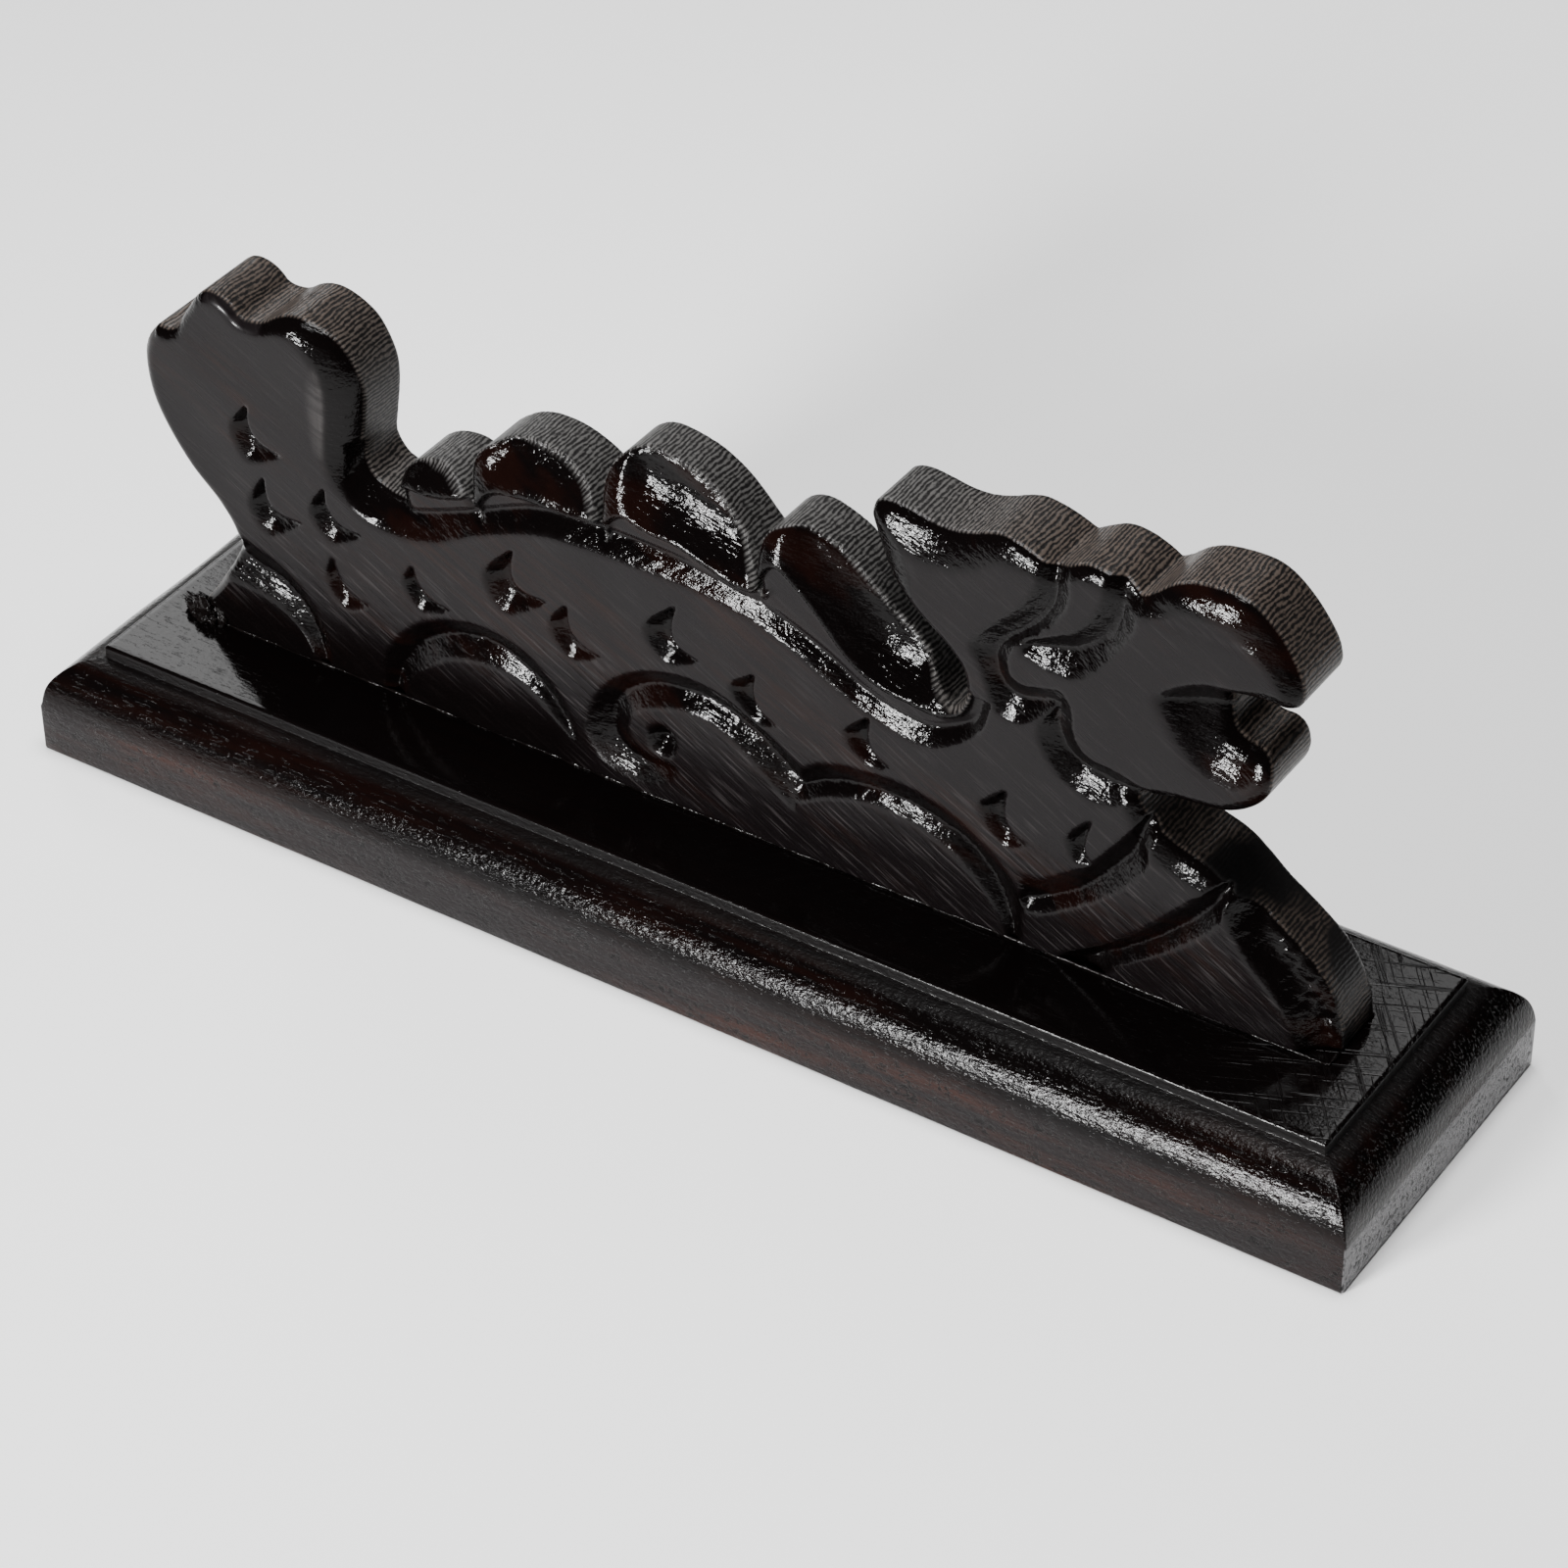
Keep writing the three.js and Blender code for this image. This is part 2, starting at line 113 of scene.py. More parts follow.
FIN_1 = [
    (-38.8, 48.6), (-39.9, 50.9), (-41.5, 52.5), (-43.8, 53.6), (-45.8, 53.9), (-48.6, 53.4),
    (-51, 51.9), (-52.2, 50), (-52.3, 47.6), (-52, 46.2)]
TAIL = [
    (-52, 46.2), (-55, 46.2), (-57.5, 46.9), (-59.2, 49.4), (-59, 52.3), (-58.5, 55.8), (-58.2, 59.3),
    (-58.5, 61.8), (-59.5, 64.3), (-61.2, 66.8), (-63.7, 68.4), (-66.2, 69.2), (-68.2, 69.2),
    (-70.2, 68.5), (-72.2, 67.2), (-74.2, 66.8), (-75.7, 67), (-76.7, 68), (-78.2, 68.9), (-80.1, 69.3),
    (-81.6, 68.9), (-83.1, 67.5), (-84.1, 65.9), (-85.3, 64), (-86.5, 61.8)]
SHOULDER = [(-86.5, 61.8), (-88, 61), (-89.8, 61.1)]
BACK = [
    (-89.8, 61.1), (-91.6, 58.6), (-92.4, 55.2), (-91.7, 50), (-89.5, 45.5), (-86, 40.5), (-82, 36.5),
    (-79.7, 33), (-79.4, 31)]
HIND_LEG = [(-79.4, 31), (-80.5, 27), (-83, 22.5), (-85.5, 19), (-87.5, 15.8), (-88.4, 14.1)]
OUTLINE = [CHEST, JAW, SNOUT, BROW, HORN_TOP, HORN_UNDER, FIN_4, FIN_3, FIN_2, FIN_1,
           TAIL, SHOULDER, BACK, HIND_LEG]

# ---- the bevel from the faces to the sawn edge: (x, z, width, depth) ----

EDGE_BEVELS = [
    (-80, 69.2, 1.6, 1.8), (-77, 68, 1.2, 1.6), (-74.5, 66.8, 0.8, 1.1), (-71, 68, 1.8, 2.4),
    (-68, 69.2, 2.4, 3), (-64.5, 68.8, 3.4, 3.4), (-61, 66.5, 4.8, 4), (-58.8, 62.5, 5.4, 4.4),
    (-58.3, 58, 5.4, 4.4), (-58.7, 53, 5.2, 4.4), (-58.6, 49, 4.6, 4), (-56, 46.6, 3.6, 3),
    (-52.6, 46.2, 2.4, 2), (-83.8, 66.4, 1.8, 1.4), (-88, 61, 1.6, 1.4), (-92, 55, 1.4, 1.2),
    (20.2, 71.5, 4.2, 3.2), (24, 73.6, 6, 3.4), (29, 73, 6.6, 3), (34, 73.6, 5.6, 2.6),
    (39, 75.3, 4.4, 2.2), (43, 74.7, 3.2, 1.8), (46.4, 73.6, 1.6, 1.2), (51, 75.8, 2.6, 2),
    (55, 75, 2.2, 1.6), (59, 74.5, 3, 2.2), (63, 77.3, 4.6, 3), (68, 78, 5, 3.2), (73, 77, 4.8, 3.2),
    (77, 73, 4.2, 3), (79.3, 68.5, 3.4, 2.6), (77.6, 65.4, 2.2, 1.8), (72, 65.3, 1.6, 1.4),
    (69, 61, 1.4, 1.2), (72, 57.2, 1.4, 1.2), (75.8, 53, 2.6, 2), (72, 48.2, 2.2, 1.8),
    (65, 46.9, 1.6, 1.4), (61, 41, 2.2, 1.8), (64.6, 38.8, 4.8, 2.8), (68, 37.7, 4.2, 2.8),
    (71.5, 35.4, 2, 1.8), (80, 29, 1.4, 1.2), (-80, 28, 1.2, 1.2)]
PLAIN_EDGE = 0.9


# ---- cuts in the face: a closed ring at face level, and the deepest line inside it ----
# Valley points are (x, z, depth). The floor slopes from the ring down to the valley.

def crescent(tip, side, low, end, depth):
    """A gouge cut: a sloping floor under the outer curve, a steep lip at the inner one."""
    outer = smooth([tip, side, low, end], 0.4)
    tip, side, low, end = np.array([tip, side, low, end])
    t = np.linspace(0, 1, 15)[:, None]
    bulge = 4 * t * (1 - t)
    chord = tip * (1 - t) + end * t
    reach = ((side + low) / 2 - (tip + end) / 2) * bulge
    ring = np.concatenate([outer, (chord + reach * 0.46)[::-1]])
    deep = (1.75 - 1.15 * t) * depth * bulge ** 0.5
    return ring, np.hstack([chord + reach * 0.56, deep])


CRESCENTS = [
    ((-75.2, 54.2), (-78.3, 49.8), (-75.5, 44.9), (-69.3, 48), 2),
    ((-73.3, 43.5), (-76.2, 38.5), (-73, 34), (-67, 38.2), 2.1),
    ((-63.3, 45.4), (-66, 41), (-62.5, 36.7), (-57, 39.8), 2),
    ((-62.8, 34.5), (-64.1, 30.5), (-61, 26.7), (-56.6, 29), 1.8),
    ((-49.5, 38.2), (-51.2, 35), (-48.5, 31.2), (-43.2, 33.2), 1.7),
    ((-33, 47), (-38, 41.5), (-34.5, 36.2), (-27.4, 40.7), 2.6),
    ((-24.8, 41.5), (-27.8, 37.5), (-24.5, 32.7), (-19.4, 35.2), 2),
    ((-7.8, 48), (-13, 42.8), (-9.5, 38.2), (-4, 40.5), 2.2),
    ((4, 42), (0, 38.5), (3.6, 34.3), (7.5, 34.8), 1.9),
    ((21, 42.2), (16.9, 38), (20.6, 34.4), (24.2, 35.2), 2),
    ((40.8, 39), (36.7, 34.8), (40.4, 30), (44, 31.5), 2),
    ((53, 39.5), (49.4, 35.5), (50.6, 31.8), (53.6, 32.5), 1.7),
]

# Each cut: its two edge lines, then the valley between them.
CUTS = [
    # cloud 1
    ([(-82, 33.5), (-78, 32.2), (-74, 30.8), (-70, 28.8), (-67.3, 26.3), (-65.3, 23.2), (-64.2, 20),
      (-64, 14)],
     [(-83, 24.5), (-80, 24), (-76, 23.8), (-72.5, 22.8), (-69.5, 20.7), (-67.4, 18), (-66.6, 14)],
     [(-84, 29, 1.6), (-80, 28.8, 1.6), (-76.8, 27.8, 1.6), (-72.8, 26.8, 1.6), (-69.3, 24.5, 1.5),
      (-67.1, 21.3, 1.3), (-65.7, 17.8, 1), (-65.3, 14, 0.9)]),
    # cloud 2
    ([(-55.6, 14), (-55.5, 18), (-55, 22), (-52.5, 26), (-48, 30), (-42, 32.3), (-37, 32.7), (-32, 31.5),
      (-28.5, 29), (-25.6, 25.6), (-24, 22), (-23.8, 20)],
     [(-52.2, 14), (-51.6, 17), (-50, 20), (-46.5, 23.5), (-43, 25.6), (-38, 26.6), (-33, 25.9),
      (-29.5, 24.2), (-26.8, 22), (-24.6, 20.2)],
     [(-53.9, 14, 1.2), (-53.6, 17.5, 1.3), (-52, 21.5, 1.6), (-48.6, 26, 1.8), (-44.2, 28.6, 1.9),
      (-39.2, 29.7, 1.9), (-35.1, 29.3, 1.65), (-31.2, 27.6, 1.4), (-28, 24.9, 1.2), (-25.8, 22.3, 1),
      (-24.4, 20.3, 0.4)]),
    # cloud 3
    ([(11.6, 29.9), (8.5, 31.6), (5.5, 33.5), (0, 36.2), (-5, 37.3), (-9, 37), (-14, 35.3), (-18, 32.5),
      (-21, 28.7), (-22.4, 25), (-22.4, 22.3), (-21.3, 20), (-19, 18.2), (-15, 17.4), (-12, 17.6),
      (-9.3, 19), (-7.6, 21.6)],
     [(10, 22.6), (8, 23.6), (5, 26.6), (0, 30), (-3, 31.4), (-7, 31.7), (-11.6, 30.2), (-14.6, 28.2),
      (-15.4, 26), (-14.9, 24), (-13, 22.8), (-10.6, 22.6), (-9, 22.4)],
     [(10.6, 26.6, 1.7), (7.2, 29, 1.8), (3, 31.8, 1.9), (-2, 33.8, 1.9), (-7, 34.2, 1.9),
      (-12.2, 33.3, 1.9), (-16.2, 30.8, 1.9), (-18.3, 27.8, 1.8), (-18.8, 24.8, 1.7), (-18.2, 22.6, 1.6),
      (-16.6, 21.2, 1.5), (-13.5, 20.6, 1.4), (-10.6, 21, 1), (-8.6, 21.9, 0.4)]),
    # cloud 4
    ([(9.6, 29.3), (10.8, 30.2), (13.4, 31.9), (18, 33.3), (24, 33.9), (29, 33.4), (34, 31.5), (38, 29),
      (41.5, 26), (43.4, 23), (43.9, 20), (43.8, 14)],
     [(8.7, 22.8), (11.6, 25), (16, 27.4), (22, 28.5), (28, 27.9), (33, 25.9), (37, 22.9), (39.8, 19.5),
      (41, 16.8), (41.2, 14)],
     [(9.8, 26.2, 1.5), (14, 28.7, 1.6), (19, 30.3, 1.4), (25, 30.7, 1.25), (30, 29.8, 1.3),
      (35, 27.5, 1.7), (39, 23.9, 1.6), (40.9, 20.2, 1.3), (41.9, 17, 1), (42, 14, 0.9)]),
    # curl
    ([(-12.7, 27.2), (-11, 28.4), (-9.2, 28), (-8.1, 26.3), (-8.4, 24.4)],
     [(-12.7, 26.8), (-12.6, 24), (-10.6, 22.9), (-8.9, 23.5)],
     [(-12, 26, 1.2), (-10.8, 25.6, 2.3), (-9.4, 25.2, 1.8)]),
    # leg 1
    ([(42.6, 26.9), (46, 27.5), (49.5, 30), (52.8, 32.8), (55.2, 36), (57.4, 38.9), (59, 41),
      (60.5, 43.4)],
     [(43.2, 20.6), (47, 22.2), (51, 25), (55, 28.2), (58.6, 31.8), (60.8, 35), (61, 38), (62, 42)],
     [(42.6, 22.6, 1.2), (46, 24, 1.6), (50, 26.4, 1.8), (53, 29.4, 1.9), (56, 33.2, 2), (58.1, 36.2, 2),
      (59.1, 39.4, 1.9), (60.2, 43, 1.6)]),
    # leg 2
    ([(46.4, 14), (49.5, 17.4), (53, 19.6), (58, 23.6), (62, 27.6), (66, 32.1), (69.5, 35.7),
      (71.2, 37.5)],
     [(55, 14), (56.6, 17.5), (60, 20.4), (64, 23.6), (68, 27.4), (70.9, 30.8), (71.5, 34), (72.2, 37)],
     [(49, 14, 1.8), (52.4, 17, 1.8), (56, 19.5, 1.9), (60, 22.6, 2), (64, 26.3, 2.1), (68, 30.8, 2.1),
      (70.4, 34.4, 1.9), (71.6, 37, 1.4)]),
    # mane 1
    ([(47.7, 76), (48.9, 73.2), (48.9, 70), (47.6, 67), (45.5, 64.4), (43, 62.2), (41.2, 60.2),
      (40.8, 58), (41.4, 56.4), (43, 55.9), (45.3, 56.6), (47.6, 57.3), (49.2, 56.8)],
     [(45.4, 76), (44.6, 73.6), (44, 71), (42, 67.4), (39.4, 64.6), (36.9, 61.8), (35, 59.2),
      (35.3, 57.6), (36.8, 55.6), (37.8, 52.8), (38.7, 50.6), (40.6, 49.4), (42.9, 49.8), (45.4, 51.6),
      (47.2, 53.8)],
     [(46.2, 76, 1.2), (46.1, 73, 1.5), (46.3, 71, 1.6), (46, 68.6, 1.7), (44.5, 65.8, 1.7),
      (42, 63, 1.7), (39.4, 60.6, 1.7), (38.5, 59.2, 1.6), (38.3, 57.4, 1.6), (38.7, 55.4, 1.7),
      (39.6, 53.8, 1.8), (41, 52.9, 1.9), (43, 53, 1.8), (45.4, 54.1, 1.5), (47.6, 55, 0.9)]),
    # mane 2
    ([(57.4, 76), (58.3, 73.8), (58.3, 71.4), (57.4, 68.4), (55, 64.2), (52.4, 60.9), (50, 59.1),
      (47.6, 58.9), (45, 59.2), (42.2, 60)],
     [(53.6, 78), (53.6, 75.6), (53.3, 73.4), (52.6, 71), (51.2, 68.4), (48.8, 66), (46, 64.3),
      (43.6, 63), (41.9, 61.8)],
     [(55, 77, 1.3), (55.1, 74.4, 1.5), (55.4, 72.4, 1.6), (54.9, 69.6, 1.7), (53.6, 66.8, 1.8),
      (51.6, 64.6, 1.8), (49.2, 62.9, 1.9), (46, 62, 1.8), (43.4, 61.5, 1.4)]),
    # mane 3
    ([(48.6, 56.6), (49.9, 54.6), (50.1, 52), (50.7, 50), (52.4, 48.7), (56, 48.2), (58.2, 47.6),
      (60.6, 46.6)],
     [(47.6, 55.6), (46, 53), (44.9, 50.8), (45, 48.4), (46, 46.3), (48, 44), (50, 42.7), (53, 41.9),
      (55.6, 42.2), (57.6, 43.5), (60, 45)],
     [(47.9, 55, 0.9), (47.3, 53, 1.4), (47.2, 50.8, 1.7), (47.7, 49, 1.8), (49, 47.2, 1.9),
      (51, 46.1, 1.9), (54, 45.7, 1.8), (57, 45.6, 1.5), (60, 45.8, 1.2)]),
    # horn root
    ([(47.4, 48.6), (45.4, 47.6), (44.6, 49.6), (45.2, 51.6)],
     [(47.4, 48.6), (47.2, 50.6), (45.2, 51.6)],
     [(46.2, 49.6, 0.5), (46, 50.6, 0.5)]),
]

# ---- the slope beside the fins ----

# Face-level edge of the slope, from the tail's root along the spine to the horn's root.
SPINE_EDGE = [
    (-60.5, 46.5), (-58.6, 43.6), (-55, 42), (-50, 41.9), (-45, 43.2), (-40, 46), (-35, 48.4),
    (-30, 50.2), (-25, 51.1), (-15, 51.4), (-5, 51.1), (0, 50.5), (5, 49.5), (10, 47.6), (15, 45),
    (20, 42.5), (25, 41), (28.4, 40.7), (31.6, 41.6), (35, 44), (37.2, 46.6), (38.3, 50)]
# The deepest line, where the slope meets the fins' ground.
SPINE_VALLEY = [
    (-60, 47.6, 1.2), (-56, 45.4, 2), (-51.5, 45.2, 2), (-46.3, 46.7, 2), (-41.3, 48.7, 2),
    (-37, 50.6, 2), (-31.2, 53, 2.1), (-26, 54, 2.1), (-16.4, 54.3, 2), (-9.3, 54.1, 1.8),
    (-4.3, 53.5, 1.5), (3.7, 52.3, 1.45), (8.9, 50.4, 1.7), (14, 48.1, 1.8), (19, 45.3, 1.6),
    (23.9, 43.7, 1.5), (28.8, 43.3, 1.55), (32.6, 44.6, 1.8), (35.6, 46.9, 1.8), (37, 50.4, 1.3)]
GROUND_DEPTH = 1.35

# Lower edges of the four fins, where each rises from the ground: left end to right end.
FIN_FEET = [
    [(-53, 46.4), (-50.4, 49.4), (-47, 49.6), (-43.6, 50.4), (-40.4, 51.6), (-38, 52.6)],
    [(-39.6, 49.5), (-36.6, 53.6), (-33, 54.6), (-29, 54.9), (-25, 54.8), (-21.6, 55), (-18, 56.2)],
    [(-19.4, 54.4), (-16.6, 57.6), (-12.6, 56.8), (-8.4, 56.4), (-4.4, 55.2), (0, 53.8),
     (3, 53.6), (6, 54.8)],
    [(3.6, 54), (6.2, 58.6), (9.6, 56.8), (12.8, 53.8), (17, 49.2), (21.4, 46.6), (26, 45.8),
     (30, 45.4), (33.2, 46.4), (35, 49), (35.6, 52)]]


# ---- curves and distances ----

def smooth(points, step):
    """Points about step apart along a Catmull-Rom curve through the given points."""
    p = np.array(points, float)
    padded = np.vstack([2 * p[0] - p[1], p, 2 * p[-1] - p[-2]])
    dense = []
    for i in range(len(p) - 1):
        a, b, c, d = padded[i:i + 4]
        for t in np.linspace(0, 1, 12, endpoint=False):
            dense.append(0.5 * (2 * b + (c - a) * t + (2 * a - 5 * b + 4 * c - d) * t ** 2
                                + (3 * b - a - 3 * c + d) * t ** 3))
    dense.append(p[-1])
    dense = np.array(dense)
    lengths = np.hypot(*np.diff(dense[:, :2], axis=0).T)
    along = np.concatenate([[0], np.cumsum(lengths)])
    count = max(2, int(round(along[-1] / step)))
    wanted = np.linspace(0, along[-1], count + 1)
    return np.stack([np.interp(wanted, along, column) for column in dense.T], axis=1)


def nearest(points, line, closed=False):
    """Distance from each point to a line, the segment it is nearest to, and how far on."""
    starts = line if closed else line[:-1]
    ends = np.roll(line, -1, axis=0) if closed else line[1:]
    best = np.full(len(points), 1e9)
    which = np.zeros(len(points), int)
    part = np.zeros(len(points))
    for i, (a, b) in enumerate(zip(starts[:, :2], ends[:, :2])):
        ab = b - a
        size = max(float(ab @ ab), 1e-12)
        t = np.clip(((points - a) @ ab) / size, 0, 1)
        offset = points - a - t[:, None] * ab
        d = offset[:, 0] ** 2 + offset[:, 1] ** 2
        closer = d < best
        best[closer] = d[closer]
        which[closer] = i
        part[closer] = t[closer]
    return np.sqrt(best), which, part


def inside(points, ring):
    """True for each point inside the closed ring."""
    result = np.zeros(len(points), bool)
    ends = np.roll(ring, -1, axis=0)
    for a, b in zip(ring[:, :2], ends[:, :2]):
        if a[1] == b[1]:
            continue
        spans = (a[1] > points[:, 1]) != (b[1] > points[:, 1])
        crossing = a[0] + (points[:, 1] - a[1]) * (b[0] - a[0]) / (b[1] - a[1])
        result ^= spans & (points[:, 0] < crossing)
    return result


def ease(t):
    """A smooth step from 0 to 1."""
    t = np.clip(t, 0, 1)
    return t * t * (3 - 2 * t)


def blur(field, sigma):
    """A Gaussian blur of a map, sigma in grid steps."""
    reach = int(math.ceil(3 * sigma))
    weights = np.exp(-0.5 * (np.arange(-reach, reach + 1) / sigma) ** 2)
    weights /= weights.sum()
    for axis in (0, 1):
        field = np.apply_along_axis(
            lambda row: np.convolve(np.pad(row, reach, mode="edge"), weights, "valid"),
            axis, field)
    return field


def waves(x, z, seed, scale):
    """A smooth random surface made of a few waves, between about -1 and 1."""
    rng = np.random.default_rng(seed)
    total = np.zeros_like(x)
    for _ in range(WAVE_COUNT):
        angle = rng.uniform(0, 2 * math.pi)
        length = scale * rng.uniform(0.6, 1.8)
        phase = rng.uniform(0, 2 * math.pi)
        total += np.sin((x * math.cos(angle) + z * math.sin(angle)) * 2 * math.pi / length
                        + phase)
    return total / math.sqrt(WAVE_COUNT)


# ---- the relief map ----

x_axis = np.arange(-94.0, 88.41, GRID)
z_axis = np.arange(14.0, 80.01, GRID)
GX, GZ = np.meshgrid(x_axis, z_axis, indexing="ij")
flat_points = np.stack([GX.ravel(), GZ.ravel()], axis=1)

outline = np.concatenate([smooth(run, 0.9)[:-1] for run in OUTLINE]
                         + [np.array([HIND_LEG[-1]], float)])
outline_steps = np.hypot(*(np.roll(outline, -1, axis=0) - outline).T)
outline_along = np.concatenate([[0], np.cumsum(outline_steps)[:-1]])

edge_distance, edge_segment, edge_part = nearest(flat_points, outline, closed=True)
in_outline = inside(flat_points, outline)
signed = np.where(in_outline, edge_distance, -edge_distance).reshape(GX.shape)
along_map = (outline_along[edge_segment]
             + edge_part * outline_steps[edge_segment]).reshape(GX.shape)


def window(ring, margin=1.0):
    """The part of the map round a ring: index ranges and its points."""
    low = ring[:, :2].min(axis=0) - margin
    high = ring[:, :2].max(axis=0) + margin
    i0, i1 = np.searchsorted(x_axis, [low[0], high[0]])
    k0, k1 = np.searchsorted(z_axis, [low[1], high[1]])
    part = (slice(i0, i1), slice(k0, k1))
    points = np.stack([GX[part].ravel(), GZ[part].ravel()], axis=1)
    return part, points


def valley_under(points, valley):
    """Distance from each point to a valley line, and the valley's depth there."""
    distance, segment, part = nearest(points, valley)
    return distance, valley[segment, 2] * (1 - part) + valley[segment + 1, 2] * part


def sink(part, cut, run_in):
    """Takes a cut into the relief; it counts as fully gouged once it is run_in deep."""
    cut = cut.reshape(GX[part].shape)
    depth_map[part] = np.maximum(depth_map[part], cut)
    gouge_map[part] = np.maximum(gouge_map[part], ease(cut / run_in))


def carve(ring, valley, run_in):
    """A cut whose floor slopes evenly from its ring down to its valley."""
    part, points = window(ring)
    to_ring, _, _ = nearest(points, ring, closed=True)
    to_valley, deep = valley_under(points, valley)
    cut = deep * to_ring / (to_ring + to_valley + 1e-6)
    sink(part, np.where(inside(points, ring), cut, 0), run_in)


def closed_above(line):
    """A ring that closes a line along the spine over the top of the fins."""
    left, right = line[0, 0], line[-1, 0]
    return np.concatenate([line[:, :2], [[right, 90], [-56, 90], [-56, 52], [left, 52]]])


# The slope beside the fins, and the ground the fins stand on.
spine_edge = smooth(SPINE_EDGE, 0.6)
spine_valley = smooth(SPINE_VALLEY, 0.6)
in_slope = inside(flat_points, closed_above(spine_edge))
on_ground = inside(flat_points, closed_above(spine_valley))
to_edge, _, _ = nearest(flat_points, spine_edge)
to_valley, deep = valley_under(flat_points, spine_valley)
slope = deep * (to_edge / (to_edge + to_valley + 1e-6))
ground = GROUND_DEPTH + (deep - GROUND_DEPTH) * (1 - ease(to_valley / 1.1))
spine_depth = np.where(on_ground, ground, slope) * in_slope
spine_depth = spine_depth.reshape(GX.shape)

# The ground ends at the slot: the horn beyond it isn't sunk.
beyond_slot = inside(flat_points, np.concatenate(
    [smooth(HORN_UNDER[:7], 0.6)[:, :2], [[34.5, 51], [60, 51], [60, 90], [19.7, 90]]]
)).reshape(GX.shape)
spine_depth[beyond_slot] = 0
depth_map = spine_depth
gouge_map = np.where(on_ground.reshape(GX.shape), 0, ease(spine_depth / 0.3))

# Places where a dome's sawn edge is cut less: (x, z, strength, spread).
SOFT_PLACES = [
    (-38.8, 48.6, 1, 18), (-19, 52.8, 1, 18), (4.3, 53, 1, 18), (31.7, 47.7, 1, 18),
    (-52, 46.2, 1, 18), (-40.4, 56, 0.75, 12), (-19.9, 60, 0.75, 12), (3.7, 60, 0.75, 12),
    (-52.3, 49, 0.75, 12)]

# Each fin is a thumb-like dome that rises from the ground: a gentle lip at its foot, then a
# steep flank that levels off at the sawn edge. The ends are gentler than the middle.
fin_map = np.zeros(GX.shape)
for top, foot in zip([FIN_1, FIN_2, FIN_3, FIN_4], FIN_FEET):
    top_line = smooth(top, 0.6)
    foot_line = smooth(foot, 0.6)
    ring = np.concatenate([top_line[:-1], foot_line])
    part, points = window(ring, 0.5)
    to_foot, _, _ = nearest(points, foot_line)
    soft = np.zeros(len(points))
    for x, z, strength, spread in SOFT_PLACES:
        away = ((points - (x, z)) ** 2).sum(axis=1)
        soft = np.maximum(soft, strength * np.exp(-away / spread))
    rim_top = FIN_CUT - 0.2 * soft
    lean = (points[:, 0] - top_line[:, 0].min()) / np.ptp(top_line[:, 0])
    middle = ease((lean - 0.10) / 0.14) * ease((0.93 - lean) / 0.12)
    lip = 0.5 if top is FIN_3 or top is FIN_4 else 1.7
    drop = 0.5 * np.minimum(to_foot, lip)
    drop = drop + (0.52 + 0.46 * middle) * np.maximum(to_foot - lip, 0)
    dome = drop * (1 + (drop / rim_top) ** 4) ** -0.25
    rise = np.clip(1 - to_foot / 0.9, 0, 1)
    dome = np.maximum(dome, (GROUND_DEPTH + 0.5) * (1 - np.sqrt(1 - rise ** 2)))
    shape = GX[part].shape
    keep = inside(points, ring).reshape(shape)
    depth_map[part][keep] = dome.reshape(shape)[keep]
    gouge_map[part][keep] = 1
    fin_map[part][keep] = ease((lean - 0.15) / 0.3).reshape(shape)[keep]

# The cuts with a valley between two edge lines, and the crescent scales.
for edge_a, edge_b, valley in CUTS:
    ring = np.concatenate([smooth(edge_a, 0.5), smooth(edge_b, 0.5)[::-1]])
    carve(ring, smooth(valley, 0.5), 0.25)
for row in CRESCENTS:
    carve(*crescent(*row), 0.2)

# The bowl cut at the corner of the mouth.
mouth = np.minimum(0.45 * (GZ - 51), 0.95 * (66 - GZ)) - 0.045 * (GX - 70.6) ** 2
mouth = blur(np.clip(mouth, 0, 4.3) * (GX > 55), 2.5)
sink(..., mouth, 0.8)

# The shin is cut well back from the face, with a rough floor.
SHIN_EDGE = [
    (72.2, 40), (71.6, 36), (71.4, 31.6), (74.5, 26.8), (78, 23.4), (80.4, 20), (82, 16), (82.4, 13)]
shin_ring = np.concatenate([smooth(SHIN_EDGE, 0.5), [[92, 13], [92, 40]]])
part, points = window(shin_ring)
to_shin, _, _ = nearest(points, smooth(SHIN_EDGE, 0.5))
shin = np.where(inside(points, shin_ring), 3.2 * ease(to_shin / 3.6) ** 0.8, 0)
shin = shin.reshape(GX[part].shape)
shin += 0.12 * (shin > 1.2) * waves(GX[part], GZ[part], 5, 1.6)
sink(part, shin, 0.25)

# A low hollow over the snout, under the brow.
snout_fold = np.exp(-(((GX - 67) / 8.5) ** 4 + ((GZ - 73.4) / 1.1) ** 2))
depth_map = depth_map + 0.35 * snout_fold

depth_map = blur(depth_map, 0.8)
gouge_map = blur(gouge_map, 1.2)

# Hand work: the faces aren't quite flat, and the gouges leave faint facets.
depth_map = depth_map + 0.05 * (1 + waves(GX, GZ, 11, 16))
depth_map = depth_map + 0.035 * gouge_map * waves(GX, GZ, 12, 2.6)

